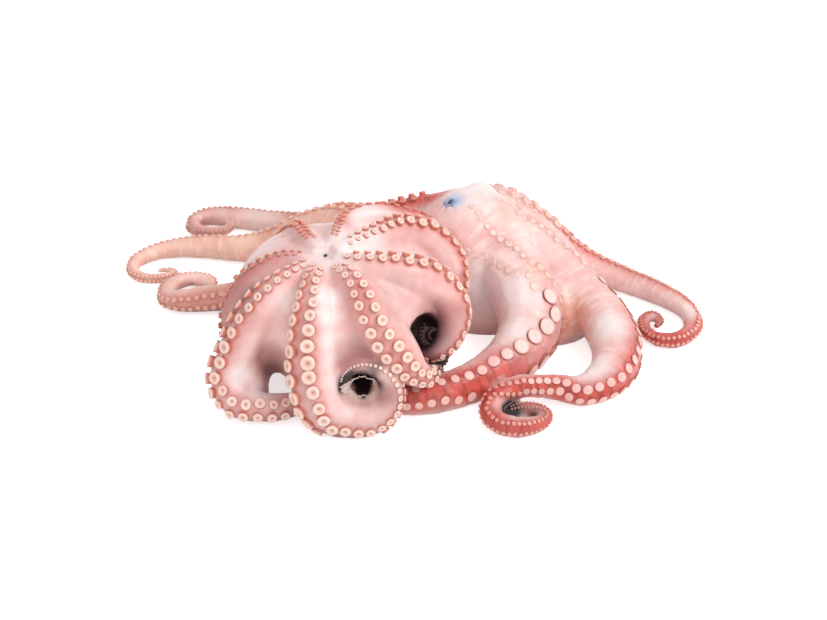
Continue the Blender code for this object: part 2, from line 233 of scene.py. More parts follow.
LYING_ARMS = {
    "right_near": dict(
        run=[
            (34, 66, 72, 20), (55, 52, 68, 25), (73, 34, 57, 28), (88, 10, 44, 29), (93, -16, 32, 27.5),
            (83, -43, 24, 23), (63, -64, 18, 19), (40, -79, 15, 17), (16, -90, 14, 16),
            (-8, -94, 12, 13), (-28, -91, 10, 9),
        ],
        faces={
            0: toward(-0.2, -0.5, 0.8), 1.5: toward(-0.3, -0.7, 0.6), 2.6: toward(-0.1, -0.35, 0.9),
            3.3: toward(0.45, -0.1, 0.75), 4: toward(0.93, -0.3, 0.0), 4.6: toward(0.85, -0.55, 0.1),
            5.4: toward(0.5, -0.8, 0.35), 6.2: toward(0.22, -0.88, 0.42), 7: toward(0.1, -0.85, 0.5),
            8: toward(0, -0.75, 0.66), 10: toward(-0.1, -0.8, 0.5),
        },
        discs={0: 4, 1: 5.5, 2: 6.5, 3: 7.5, 3.4: 9, 3.7: 13, 4: 14.5, 5: 13.5, 6: 9.6, 7: 7.6, 8: 7, 10: 5},
        steps={0: 1.3, 3: 1.1, 4: 1.04, 5: 1.06, 6: 1.3, 7: 1.5, 10: 1.5},
        spread={0: 26, 3: 22, 4: 34, 6: 38, 7: 31, 10: 28},
        coral={0: 0.05, 3: 0.1, 4: 0.3, 5: 0.5, 6: 0.9, 7: 1.0, 10: 1.0},
        dusk={0: 0.0, 6: 0.0, 8: 0.1, 10: 0.4},
        kinds={0: "faint", 3.55: "disc"},
    ),
    "right_middle": dict(
        run=[
            (46, 76, 72, 20), (75, 80, 64, 26), (105, 62, 48, 26), (134, 28, 32, 23), (154, -2, 24, 22),
            (161, -38, 21, 21.5), (153, -68, 18, 18.5), (132, -83, 13, 13.5), (112, -82, 15, 11.5),
            (94, -84, 18, 10.5), (76, -89, 20, 10), (63, -98, 17, 9.5), (58, -109, 13, 9.5),
            (63, -119, 10.5, 9.5), (74, -124, 9.5, 9.5), (87, -123, 9, 8.5), (97, -117, 8.5, 7.5),
            (100, -109, 9.5, 6.5), (93, -105, 12, 5.5), (83, -104, 13, 4.5), (74, -104, 11, 3),
        ],
        faces={
            0: toward(-0.1, -0.2, 1), 1: toward(0.1, -0.1, 1), 2: toward(0.5, 0.1, 0.8),
            3: toward(0.8, 0.35, 0.4),
            4: toward(1, 0.2, 0.12), 5: toward(1, -0.05, 0.05), 6: toward(0.8, -0.6, 0.08),
            7: toward(0.2, -0.97, 0.17), 8: toward(0, -0.75, 0.66), 10: toward(0, -0.85, 0.5),
            11.5: away((84, -106, 12), (0, -0.9, 0.6)), 17: away((82, -112, 8), (0, -0.6, 0.9)),
            20: toward(0, -0.5, 0.85),
        },
        discs={0: 4, 1: 5.5, 2: 6.5, 3: 8, 4: 10, 5: 9.4, 6: 8.2, 7: 7.2, 8: 6.8, 9: 5.4, 11: 4.2, 15: 3.4,
               20: 1.8},
        steps={0: 1.4, 2: 1.3, 4: 1.3, 8: 1.2, 10: 1.12, 20: 1.1},
        spread={0: 24, 4: 26, 6: 27, 8: 24, 10: 30, 20: 32},
        coral={0: 0.05, 3: 0.15, 4: 0.4, 5: 0.75, 6: 0.95, 8: 1.0, 14: 1.0, 20: 0.9},
        dusk={0: 0.0, 9: 0.0, 11: 0.15, 15: 0.2, 17: 0.5, 20: 0.85},
        kinds={0: "faint", 3.2: "disc", 9.6: "small"},
    ),
    "right_far": dict(
        run=[
            (46, 86, 76, 18), (72, 102, 63, 24), (104, 106, 40, 23), (128, 99, 25, 18),
            (150, 90, 17, 14), (178, 76, 12, 12), (204, 58, 11, 11), (221, 42, 10, 9.8),
            (229, 27, 9.5, 9), (229, 9, 9, 8.7), (221, -4, 8.5, 8.2), (209, -9, 8, 7.8),
            (197, -5, 7.5, 7), (190, 6, 7.5, 6.5), (191, 20, 8, 5.8), (199, 27, 8, 5),
            (204, 20, 7, 4.2), (199, 13, 6, 3),
        ],
        faces={
            0: toward(0.2, 0.1, 0.9), 2: toward(0.35, 0.3, 0.85), 6: toward(0.4, 0.55, 0.75),
            8: away((208, 22, 6), (0.1, 0, 0.5)), 13: away((208, 22, 6), (0, -0.2, 0.4)),
            15: away((198, 18, 5), (0, -0.2, 0.5)), 17: away((198, 20, 5), (0, -0.1, 0.5)),
        },
        discs={0: 6, 1: 9, 2: 8.6, 3: 6.6, 5: 5.2, 7: 4.4, 11: 3.4, 14: 2.8, 17: 2},
        steps={0: 1.5, 2: 1.4, 4: 1.25, 8: 1.2, 17: 1.1},
        lift={0: 0.0, 2: 0.04, 3: 0.1, 17: 0.06},
        coral={0: 0.1, 2: 0.35, 4: 0.6, 7: 0.6, 9: 0.8, 11: 1.0, 17: 1.0},
        dusk={0: 0.0, 10: 0.0, 12: 0.15, 17: 0.5},
        kinds={0: "bump", 2.6: "small"},
    ),
    "left_far": dict(
        run=[
            (22, 78, 84, 13), (-16, 84, 70, 14), (-50, 108, 44, 15), (-80, 142, 25, 14),
            (-107, 163, 15, 12.5), (-135, 173, 12, 11.5), (-162, 181, 11, 11), (-184, 186, 9.5, 9.5),
            (-197, 181, 8.5, 8.5), (-199, 170, 8, 7.8), (-192, 163, 7.5, 7.3), (-180, 162, 7, 6.5),
            (-169, 166, 7, 5.5), (-166, 173, 8, 4.5), (-174, 176, 9, 3.2),
        ],
        faces={
            0: toward(-0.1, 0.2, 1), 1: toward(-0.2, 0.3, 0.9), 3: toward(-0.3, 0.6, 0.7),
            6: toward(-0.1, 0.7, 0.7), 8: away((-184, 174, 8), (0, 0, 0.3)),
            11: away((-182, 172, 6), (0, -0.2, 0.2)), 14: away((-176, 172, 6), (0, 0, 0.3)),
        },
        discs={0: 6, 1: 6.5, 2: 6, 4: 4.2, 6: 3.8, 8: 3.4, 14: 2},
        steps={0: 1.5, 4: 1.4, 14: 1.3},
        lift={0: 0.1, 2: 0.0, 14: 0.0},
        coral={0: 0.95, 1: 0.95, 3: 0.4, 5: 0.3, 14: 0.25},
        dusk={0: 0.0, 3: 0.2, 6: 0.35, 9: 0.5, 14: 0.6},
        tan={0: 0.0, 2: 0.3, 4: 0.4, 14: 0.5},
        kinds={0: "coral", 2: "small"},
    ),
    "left_middle": dict(
        run=[
            (-10, 80, 60, 18), (-45, 98, 52, 20), (-80, 114, 40, 20), (-121, 120, 20, 16),
            (-152, 123, 14, 13), (-188, 129, 12, 11), (-219, 127, 10, 9), (-240, 115, 8, 7.5),
            (-244, 102, 7, 6.5), (-238, 91, 6, 6), (-226, 87, 6, 5.5), (-214, 90, 5.5, 5),
            (-207, 97, 5, 4), (-214, 103, 4.5, 3), (-223, 101, 4, 2),
        ],
        faces={
            0: toward(-0.2, 0.3, 0.9), 3: toward(-0.2, 0.6, 0.8), 5: toward(-0.1, 0.7, 0.7),
            7: away((-228, 106, 6), (0, 0.1, 0.3)), 10: away((-226, 98, 4), (0, -0.1, 0.2)),
            14: away((-218, 98, 2), (0, 0, 0.3)),
        },
        discs={0: 7, 2: 6.5, 4: 4.6, 6: 4, 9: 3, 14: 1.8},
        steps={0: 1.4, 4: 1.35, 14: 1.2},
        coral={0: 0.2, 4: 0.12, 7: 0.3, 14: 0.35},
        tan={0: 0.5, 2: 0.9, 4: 0.9, 8: 0.6, 14: 0.5},
        lift={0: 0.0, 14: 0.0},
        kinds={0: "small"},
    ),
    "back_near": dict(
        run=[
            (50, 90, 66, 20), (68, 126, 44, 20), (80, 154, 24, 17), (72, 178, 13, 12), (48, 184, 10, 9.5),
        ] + curl((40, 166, 8), 100, 250, 18, 9, 8.5, 3, rise=(1.0, 0.0), rings=8),
        faces={
            0: toward(0.3, 0.4, 0.8), 2: toward(0.7, 0.5, 0.5), 4: away((42, 164, 8), (0, 0, 0.5)),
            13: away((40, 166, 8), (0, 0, 0.5)),
        },
        discs={0: 8, 2: 8, 4: 5.5, 8: 4, 13: 2},
        steps={0: 1.3, 13: 1.15},
        coral={0: 0.1, 2: 0.4, 5: 0.7, 13: 0.8},
        kinds={0: "faint", 2: "ring", 6: "small"},
    ),
    "back_far": dict(
        run=[
            (30, 88, 60, 18), (10, 126, 36, 18), (-6, 156, 20, 15), (-28, 176, 12, 12),
            (-56, 182, 10, 9), (-74, 176, 8, 7), (-80, 165, 6, 5), (-71, 158, 5, 3.5),
        ],
        faces={
            0: toward(0, 0.4, 0.9), 2: toward(0.1, 0.8, 0.6), 4: toward(-0.1, 0.8, 0.6),
            5: away((-68, 166, 6), (0, 0, 0.4)), 7: away((-68, 166, 6), (0, 0, 0.4)),
        },
        discs={0: 7, 2: 7.5, 4: 5, 7: 2.4},
        steps={0: 1.3, 7: 1.2},
        coral={0: 0.1, 2: 0.35, 4: 0.5, 7: 0.6},
        tan={0: 0.0, 3: 0.5, 7: 0.6},
        kinds={0: "faint", 2: "ring", 5: "small"},
    ),
}

# The coiled tips of arms that are tucked into the hollow under the crown's right side. They are painted dark
# all over, as painted shade of the hollow.
TUCKED_TIPS = {
    "tucked_tip_upper": dict(
        run=curl((16, -66, 52), 120, 560, 9.5, 2.0, 3.4, 1.4, rise=(0.35, 0.94), rings=16),
        faces={0: away((16, -66, 52), (0, -0.7, 0.4)), 16: away((16, -66, 52), (0, -0.7, 0.4))},
        discs={0: 2.2, 16: 1.4},
        steps={0: 1.3, 16: 1.2},
        kinds={0: "small"},
        dusk={0: 2.0},
    ),
    "tucked_tip_lower": dict(
        run=curl((20, -72, 37), 60, 500, 8.5, 2.2, 3.6, 1.4, rise=(0.45, 0.9), rings=16),
        faces={0: away((20, -72, 37), (0, -0.7, 0.4)), 16: away((20, -72, 37), (0, -0.7, 0.4))},
        discs={0: 2.2, 16: 1.4},
        steps={0: 1.3, 16: 1.2},
        kinds={0: "small"},
        dusk={0: 2.0},
    ),
    "tucked_tip_front": dict(
        run=curl((17, -80, 29), 150, 420, 6.5, 2.0, 3.4, 1.4, rise=(0.5, 0.85), rings=14),
        faces={0: away((17, -80, 29), (0, -0.7, 0.4)), 14: away((17, -80, 29), (0, -0.7, 0.4))},
        discs={0: 2.8, 14: 1.6},
        steps={0: 1.2, 14: 1.1},
        kinds={0: "small"},
        dusk={0: 0.9},
    ),
}

# The web and the flesh under the lying arms: centre and half extents, mm.
REAR_MASSES = [
    ((46, 63, 38), (60, 54, 66)),
    ((54, 76, 60), (26, 26, 46)),
    ((78, 72, 14), (66, 54, 48)),
    ((60, 36, 8), (38, 29, 46)),
    ((-30, 62, 14), (66, 58, 62)),
    ((114, 32, 14), (38, 42, 38)),
    ((36, 104, 8), (66, 50, 46)),
]

# The web that fills the side of the front left arm, and the lining of the rolled-up front arm.
CROWN_MASSES = [
    ((-126, -82, 22), (14, 14, 27)),
    ((-37, -107, 42), (21, 10, 20)),
]

# The skin that closes the rolled-up end of the right middle arm: a sheet that a dark wash paints as the
# shade inside the curl.
CURL_SHADOW_WEB = ((76, -102, 4), (17, 15, 8))

# The hollows that go in under the crown's edge: centre, half extents and turn about Z.
HOLLOWS = {
    "arch_under_front_left": ((-104, -72, 6), (9, 36, 24), 4),
    "daylight_under_left": ((-128, -54, 0), (22, 19, 22), 0),
    "hollow_under_right": ((9, -78, 55), (18, 32, 20), 22),
    "cup_of_front_curl": ((-36, -126, 44), (19, 17, 18), 0),
    "eye_of_front_curl": ((-39, -112, 38), (9.5, 28, 10.5), 0),
}


# ---- helpers ------------------------------------------------------------------------------
def deselect():
    for each in bpy.context.selected_objects:
        each.select_set(False)


def select_only(obj):
    deselect()
    obj.select_set(True)
    bpy.context.view_layer.objects.active = obj


def apply_modifiers(obj):
    select_only(obj)
    for modifier in list(obj.modifiers):
        bpy.ops.object.modifier_apply(modifier=modifier.name)


def placed(points):
    """Points of a run, in mm, as places in the frame, in metres."""
    return (np.asarray(points, float) - MIDDLE - np.array((0.0, 0.0, SETTLE))) * MM


def smoothstep(low, high, value):
    share = np.clip((value - low) / (high - low), 0.0, 1.0)
    return share * share * (3 - 2 * share)


def units(vectors):
    return vectors / np.maximum(np.linalg.norm(vectors, axis=1), 1e-9)[:, None]


def vertex_places(mesh):
    places = np.empty(len(mesh.vertices) * 3)
    mesh.vertices.foreach_get("co", places)
    return places.reshape(-1, 3)


def vertex_normals(mesh):
    normals = np.empty(len(mesh.vertices) * 3)
    mesh.vertex_normals.foreach_get("vector", normals)
    return normals.reshape(-1, 3)


def set_vertex_places(mesh, places):
    mesh.vertices.foreach_set("co", places.reshape(-1))
    mesh.update()


def set_mask(mesh, name, values):
    mask = mesh.attributes.get(name) or mesh.attributes.new(name, "FLOAT", "POINT")
    mask.data.foreach_set("value", np.asarray(values, np.float32))


def relaxed(mesh, values, rounds, share=0.5):
    """Vertex values after `rounds` of being drawn towards the mean of their neighbours."""
    ends = np.empty(len(mesh.edges) * 2, np.int32)
    mesh.edges.foreach_get("vertices", ends)
    first, second = ends.reshape(-1, 2).T
    count = len(mesh.vertices)
    around = np.maximum(np.bincount(first, minlength=count) + np.bincount(second, minlength=count), 1)
    values = np.array(values, float)
    columns = values.reshape(count, -1)
    share = np.broadcast_to(share, count)
    for _ in range(rounds):
        for column in columns.T:
            total = np.bincount(first, column[second], count) + np.bincount(second, column[first], count)
            column += share * (total / around - column)
    return columns.reshape(values.shape)


def ripple(places, size, seed):
    """Soft noise between about -1 and 1 over places in metres, with bumps about `size` mm wide."""
    draw = np.random.default_rng(seed)
    total = np.zeros(len(places))
    waves = 14
    for _ in range(waves):
        direction = units(draw.normal(size=(1, 3)))[0]
        length = size * MM * draw.uniform(1.4, 2.8)
        total += np.sin(places @ direction * (2 * math.pi / length) + draw.uniform(0, 2 * math.pi))
    return total / math.sqrt(waves / 2) / 1.6


# ---- an arm as a line with a frame at each place ------------------------------------------
class Arm:
    STEPS = 8     # places between two points of the run

    def __init__(self, name, run, faces, discs, steps, spread=None, coral=None, dusk=None,
                 tan=None, lift=None, kinds=None):
        self.name = name
        self.kinds = kinds or {0: "ring"}
        self.tables = {
            "disc": discs, "step": steps, "spread": spread or {0: 25}, "coral": coral or {0: 0},
            "dusk": dusk or {0: 0}, "tan": tan or {0: 0}, "lift": lift or {0: 0.03},
        }
        self.index = np.arange((len(run) - 1) * self.STEPS + 1) / self.STEPS
        smooth = self.smooth_run(np.array(run, float))
        self.line = smooth[:, :3]
        self.thick = smooth[:, 3] * MM
        self.centre = placed(self.line)
        self.ahead = units(np.gradient(self.centre, axis=0))
        oral = self.facing(faces)
        oral -= np.sum(oral * self.ahead, axis=1)[:, None] * self.ahead
        self.oral = units(oral)
        self.side = np.cross(self.ahead, self.oral)
        hops = np.linalg.norm(np.diff(self.centre, axis=0), axis=1)
        self.length = np.concatenate([[0.0], np.cumsum(hops)])

    def smooth_run(self, run):
        """A Catmull-Rom curve through the points of the run."""
        ends = np.vstack([run[:1], run, run[-1:]])
        span = np.minimum(self.index.astype(int), len(run) - 2)
        t = (self.index - span)[:, None]
        before, start, end, after = (ends[span + shift] for shift in range(4))
        return 0.5 * (
            2 * start + (end - before) * t + (2 * before - 5 * start + 4 * end - after) * t ** 2
            + (3 * start - before - 3 * end + after) * t ** 3
        )

    def facing(self, faces):
        """The way the suckers face at each place, turning smoothly from one entry to the next."""
        keys = sorted(faces)
        ways = [units(faces[key](self.line)) for key in keys]
        total = ways[0].copy()
        for before, after, way in zip(keys, keys[1:], ways[1:]):
            share = smoothstep(before, after, self.index)[:, None]
            total = total * (1 - share) + way * share
        return units(total)

    def value(self, table, index):
        entries = self.tables[table]
        keys = sorted(entries)
        return np.interp(index, keys, [entries[key] for key in keys])

    def kind(self, index):
        """The kind of sucker there; the kinds change at the keys of their table."""
        return self.kinds[max(key for key in self.kinds if key <= max(index, min(self.kinds)))]

    def at(self, length):
        """Index, centre, half thickness, forward, oral and side directions at a length along."""
        def between(values):
            return np.array([np.interp(length, self.length, column) for column in np.atleast_2d(values.T)])
        return (
            between(self.index)[0], between(self.centre), between(self.thick)[0],
            between(self.ahead), between(self.oral), between(self.side),
        )


# ---- the skins ----------------------------------------------------------------------------
def arm_tube(arm):
    """One arm as a tapering tube with closed ends."""
    deselect()
    bpy.ops.curve.primitive_nurbs_path_add()
    tube = bpy.context.object
    tube.data.splines.clear()
    tube.data.bevel_depth = MM
    tube.data.bevel_resolution = 5
    tube.data.use_fill_caps = True
    spline = tube.data.splines.new("POLY")
    spline.points.add(len(arm.centre) - 1)
    for point, centre, thick in zip(spline.points, arm.centre, arm.thick):
        point.co = (*centre, 1.0)
        point.radius = thick / MM - SKIN_UNDER * min(1.0, thick / MM / 8)
    bpy.ops.object.convert(target="MESH")
    return bpy.context.object


def between_ribs(around):
    """0 on an arm's line and 1 halfway between two arms, for angles in degrees."""
    ribs = [CROWN_RIBS[-1] - 360] + list(CROWN_RIBS) + [CROWN_RIBS[0] + 360]
    sag = np.zeros(len(around))
    for rib, following in zip(ribs, ribs[1:]):
        inside = (around >= rib) & (around <= following)
        sag[inside] = np.sin(math.pi * (around[inside] - rib) / (following - rib))
    return sag


def crown_web():
    """The dome between the crown's arms: a sphere drawn out to the rim and flattened below."""
    deselect()
    bpy.ops.mesh.primitive_uv_sphere_add(segments=128, ring_count=64, radius=1.0)
    web = bpy.context.object
    x, y, z = vertex_places(web.data).T
    around = np.arctan2(y, x)
    across = np.hypot(x, y) ** (2 / CROWN_FULLNESS)
    up = np.maximum(z, 0.0) ** (2 / CROWN_FULLNESS)
    fall = 1 - up
    rim = CROWN_RIM - SKIN_UNDER + CROWN_LEAN * np.cos(around - math.radians(CROWN_LEAN_SIDE))
    sag = between_ribs(np.degrees(around))
    reach = (rim * (1 - WEB_TUCK * fall * fall) - WEB_SAG * sag * fall) * across
    set_vertex_places(web.data, placed(np.stack([
        CROWN_MOUTH[0] + reach * np.cos(around),
        CROWN_MOUTH[1] + reach * np.sin(around),
        (CROWN_HEIGHT - SKIN_UNDER) * up + 8 * np.minimum(z, 0.0),
    ], axis=1)))
    return web


def ball(centre, extents, turn=0.0):
    """A ball stretched to the half extents and turned about Z."""
    deselect()
    bpy.ops.mesh.primitive_uv_sphere_add(segments=64, ring_count=32, radius=1.0)
    shape = bpy.context.object
    x, y, z = (vertex_places(shape.data) * np.array(extents)).T
    angle = math.radians(turn)
    set_vertex_places(shape.data, placed(np.stack([
        centre[0] + x * math.cos(angle) - y * math.sin(angle),
        centre[1] + x * math.sin(angle) + y * math.cos(angle),
        centre[2] + z,
    ], axis=1)))
    return shape


def cut_hollows(web):
    for name, (centre, extents, turn) in HOLLOWS.items():
        cutter = ball(centre, extents, turn)
        cut = web.modifiers.new(name, "BOOLEAN")
        cut.operation = "DIFFERENCE"
        cut.solver = "EXACT"
        cut.object = cutter
        apply_modifiers(web)
        bpy.data.objects.remove(cutter)


def grown_together(name, pieces):
    """The pieces joined and remeshed into one skin, with its creases filled as skin does."""
    deselect()
    for piece in pieces:
        piece.select_set(True)
    bpy.context.view_layer.objects.active = pieces[0]
    bpy.ops.object.join()
    skin = bpy.context.object
    skin.name = skin.data.name = name
    unite = skin.modifiers.new("grow_together", "REMESH")
    unite.mode = "VOXEL"
    unite.voxel_size = SKIN_GRAIN * MM
    apply_modifiers(skin)
    return skin


def thinned(skin):
    """Take out the faces that the skin can spare, which are where it is flattest."""
    skin.data.calc_loop_triangles()
    count = len(skin.data.loop_triangles)
    if count > SKIN_FACES:
        spare = skin.modifiers.new("spare_faces", "DECIMATE")
        spare.ratio = SKIN_FACES / count
        apply_modifiers(skin)


class SkinMap:
    """Where each vertex of a skin lies on the nearest arm."""

    def __init__(self, skin, arms):
        places = vertex_places(skin.data)
        centres = np.vstack([arm.centre for arm in arms])
        thick = np.concatenate([arm.thick for arm in arms])
        owner = np.concatenate([np.full(len(arm.centre), i) for i, arm in enumerate(arms)])
        ahead = np.vstack([arm.ahead for arm in arms])
        oral = np.vstack([arm.oral for arm in arms])
        side = np.vstack([arm.side for arm in arms])
        index = np.concatenate([arm.index for arm in arms])
        along = np.concatenate([arm.length for arm in arms])
        nearest = np.empty(len(places), int)
        block = 4000
        for start in range(0, len(places), block):
            rows = places[start:start + block]
            gap = ((rows[:, None, :] - centres[None]) ** 2).sum(axis=2) / (thick ** 2)[None]
            nearest[start:start + block] = gap.argmin(axis=1)
        offset = places - centres[nearest]
        offset -= np.sum(offset * ahead[nearest], axis=1)[:, None] * ahead[nearest]
        self.arms = arms
        self.owner = owner[nearest]
        self.index = index[nearest]
        self.thick = thick[nearest]
        self.along = along[nearest] + np.sum((places - centres[nearest]) * ahead[nearest], axis=1)
        self.off = np.linalg.norm(places - centres[nearest], axis=1) / self.thick
        self.turn = np.arctan2(
            np.sum(offset * side[nearest], axis=1), np.sum(offset * oral[nearest], axis=1),
        )
        self.on_arm = 1 - smoothstep(1.15, 1.75, self.off)

    def table(self, name):
        values = np.zeros(len(self.owner))
        for i, arm in enumerate(self.arms):
            mine = self.owner == i
            values[mine] = arm.value(name, self.index[mine])
        return values


def make_skin(name, arms, webs):
    skin = grown_together(name, [arm_tube(arm) for arm in arms] + webs)
    mesh = skin.data
    # Thick flesh fills its creases more than a thin arm tip does.
    where = SkinMap(skin, arms)
    share = np.clip(where.thick / MM / 14, 0.12, 0.6)
    rounds = 18
    places = relaxed(mesh, vertex_places(mesh), rounds, share)
    places[:, 2] = np.maximum(places[:, 2], 0.0)
    set_vertex_places(mesh, places)
    return skin


# ---- suckers ------------------------------------------------------------------------------
# Each profile is a count of sides and a list of radius and height, in diameters, from the foot
# under the skin over the rim and down into the cup. The last value is the height of the pit.
SUCKER_PROFILES = {
    "ring": (12, [(0.5, -0.5), (0.46, 0.0), (0.5, 0.12), (0.46, 0.225), (0.31, 0.24), (0.17, 0.15)], 0.06),
    "disc": (16, [(0.51, -0.22), (0.515, 0.0), (0.505, 0.015), (0.48, 0.035), (0.3, 0.045), (0.12, 0.04)],
             0.035),
    "faint": (10, [(0.50, -0.30), (0.45, -0.05), (0.37, -0.01), (0.26, -0.01), (0.12, -0.03)], -0.04),
    "bump": (10, [(0.55, -0.30), (0.52, -0.03), (0.44, 0.06), (0.30, 0.09), (0.14, 0.07)], 0.05),
    "coral": (8, [(0.48, -0.40), (0.44, 0.02), (0.47, 0.15), (0.36, 0.25), (0.18, 0.21)], 0.13),
    "small": (8, [(0.42, -0.40), (0.46, 0.06), (0.40, 0.20), (0.20, 0.18)], 0.08),
    "pearl": (8, [(0.42, -0.40), (0.48, 0.06), (0.41, 0.24), (0.20, 0.22)], 0.12),
}
MOUND = {"ring": 0.14, "disc": 0.03, "faint": 0.03, "bump": 0.12, "coral": 0.16, "small": 0.10,
         "pearl": 0.10}
# MOUND is how far the skin is raised under a sucker, in diameters.
SMALL_SUCKER = 3.6      # mm: under this a sucker is a plain small one
FIRST_SUCKER = 13.0     # mm from the start of a run
PACE = 0.5              # mm: how finely the places for suckers are tried along an arm


def sucker_shape(kind):
    """One sucker, a unit across: a filled circle extruded and sized step by step."""
    sides, profile, pit = SUCKER_PROFILES[kind]
    deselect()
    bpy.ops.mesh.primitive_circle_add(
        vertices=sides, radius=profile[0][0], fill_type="NGON", location=(0, 0, profile[0][1]),
    )
    shape = bpy.context.object
    bpy.ops.object.transform_apply(location=True)
    bpy.ops.object.mode_set(mode="EDIT")
    bpy.ops.mesh.select_all(action="SELECT")
    for (radius, height), (wider, higher) in zip(profile, profile[1:]):
        bpy.ops.mesh.extrude_region_move(TRANSFORM_OT_translate={"value": (0, 0, higher - height)})
        bpy.ops.transform.resize(
            value=(wider / radius, wider / radius, 1), center_override=(0, 0, higher),
        )
    bpy.ops.mesh.extrude_region_move(TRANSFORM_OT_translate={"value": (0, 0, pit - profile[-1][1])})
    bpy.ops.mesh.merge(type="CENTER")
    bpy.ops.mesh.select_all(action="SELECT")
    bpy.ops.mesh.normals_make_consistent(inside=False)
    bpy.ops.object.mode_set(mode="OBJECT")
    places = vertex_places(shape.data)
    faces = [list(face.vertices) for face in shape.data.polygons]
    # The ring a vertex is on, from 0 at the foot to 1 in the middle of the pit.
    ring = np.minimum(np.arange(len(places)) // sides, len(profile)) / len(profile)
    bpy.data.objects.remove(shape)
    return places, faces, ring


SUCKERS = {kind: sucker_shape(kind) for kind in SUCKER_PROFILES}


class Sucker:
    """One sucker's place on the skin."""

    def __init__(self, place, out, disc, index, arm):
        self.place = place
        self.out = out
        self.disc = disc
        self.index = index
        self.kind = arm.kind(index)
        if disc < SMALL_SUCKER * MM and self.kind in ("ring", "disc"):
            self.kind = "small"
        self.tints = {name: float(arm.value(name, index)) for name in ("coral", "dusk", "tan")}
        self.raised = place + out * disc * (MOUND[self.kind] + float(arm.value("lift", index)))


def sucker_places(arm, surface, taken, rng, first=FIRST_SUCKER):
    """Both rows of an arm, each sucker set on the skin and clear of the others and of the floor."""
    found = []
    for row in (1, -1):
        before = None
        at = first * MM
        wobble = 0.0
        if row < 0:
            at += float(arm.value("disc", 1) * arm.value("step", 1)) * MM / 2
        while at < arm.length[-1] - MM:
            index, centre, thick, _, oral, side = arm.at(at)
            disc = float(arm.value("disc", index)) * MM
            spread = math.radians(float(arm.value("spread", index))) + wobble
            way = math.cos(spread) * oral + row * math.sin(spread) * side
            start = centre + way * (thick * 1.5 + 3 * MM)
            hit, normal, _, _ = surface.ray_cast(Vector(start), Vector(-way), thick * 1.5 + 3 * MM)
            at += PACE * MM
            if hit is None or normal.dot(Vector(way)) < 0.3:
                continue
            place = np.array(hit)
            if disc < SMALL_SUCKER * MM and np.linalg.norm(place - centre) > thick * 1.3 + 1.2 * MM:
                continue
            # Only the near row of the rolled-up tip is in the open.
            if arm.kind(index) == "pearl" and way[1] > 0.2:
                continue
            if before is not None and np.linalg.norm(place - before) < disc * arm.value("step", index):
                continue
            out = np.array((Vector(way) * 0.35 + normal * 0.65).normalized())
            if place[2] - disc * 0.55 * math.sqrt(max(0.0, 1 - out[2] ** 2)) < 0:
                continue
            near = [each for each in taken + found
                    if np.linalg.norm(each.place - place) < (each.disc + disc) * 0.46]
            if near:
                continue
            found.append(Sucker(place, out, disc * rng.uniform(0.94, 1.06), index, arm))
            before = place
            wobble = rng.uniform(-0.06, 0.06)
    return found


def sucker_frame(sucker, rng):
    """The matrix that sets a unit sucker there, a little squeezed and turned as real ones are."""
    lean = Vector((rng.uniform(-0.08, 0.08), rng.uniform(-0.08, 0.08), rng.uniform(-0.08, 0.08)))
    turn = (Vector(sucker.out) + lean).to_track_quat("Z", "Y").to_matrix().to_4x4()
    spin = Matrix.Rotation(rng.uniform(0, 2 * math.pi), 4, "Z")
    disc = sucker.disc
    squeeze = Matrix.Diagonal((disc * rng.uniform(0.92, 1.08), disc, disc * rng.uniform(0.85, 1.1), 1))
    return Matrix.Translation(Vector(sucker.raised)) @ turn @ spin @ squeeze


def sucker_rows(name, found, rng):
    """Suckers of one kind as one mesh, each a copy of its kind's shape."""
    places, faces = [], []
    masks = {"ring": [], "tone": [], "coral": [], "dusk": [], "tan": []}
    total = 0
    for sucker in found:
        shape, corners, ring = SUCKERS[sucker.kind]
        matrix = np.array(sucker_frame(sucker, rng))
        places.append(shape @ matrix[:3, :3].T + matrix[:3, 3])
        faces += [[corner + total for corner in face] for face in corners]
        masks["ring"].append(ring)
        masks["tone"].append(np.full(len(shape), rng.random()))
        for tint_name, strength in sucker.tints.items():
            masks[tint_name].append(np.full(len(shape), strength))
        total += len(shape)
    places = np.vstack(places)
    places[:, 2] = np.maximum(places[:, 2], 0.0)
    mesh = bpy.data.meshes.new(name)
    mesh.from_pydata(places.tolist(), [], faces)
    for mask, values in masks.items():
        set_mask(mesh, mask, np.concatenate(values))
    mesh.shade_smooth()
    rows = bpy.data.objects.new(name, mesh)
    bpy.context.scene.collection.objects.link(rows)
    return rows


# ---- sculpting and tinting the skin -------------------------------------------------------
def nearest_suckers(places, found):
    """For each place: how far the nearest sucker is, in its diameters, its diameter and direction."""
    tree = KDTree(len(found))
    for i, sucker in enumerate(found):
        tree.insert(sucker.place, i)
    tree.balance()
    which = np.empty(len(places), int)
    gaps = np.empty(len(places))
    for i, place in enumerate(places):
        _, which[i], gaps[i] = tree.find(place)
    discs = np.array([sucker.disc for sucker in found])[which]
    ways = np.array([sucker.out for sucker in found])[which]
    mounds = np.array([MOUND[sucker.kind] for sucker in found])[which]
    return gaps / discs, discs * mounds, ways


# The two mouths: centre, across, how many folds run out from it, and how deep the dimple is, mm.
MOUTHS = {
    "front_mouth": ((-67, -40, 111), 6.5, 13, 2.2),
    "rear_mouth": ((30, 57, 96), 7.0, 11, 2.0),
}


def pucker(places, normals, mouth):
    """Draws the skin into the mouth, in folds that run out from it."""
    centre, across, folds, depth = MOUTHS[mouth]
    offset = places - placed([centre])[0]
    gap = np.linalg.norm(offset, axis=1) / (across * MM)
    around = np.arctan2(offset[:, 1], offset[:, 0])
    wave = np.cos(folds * around + 1.6 * np.sin(2 * around)) * np.exp(-((gap - 1.1) / 0.8) ** 2)
    dimple = np.exp(-(gap / 0.62) ** 2)
    places += normals * (wave * 0.45 - dimple * depth)[:, None] * MM


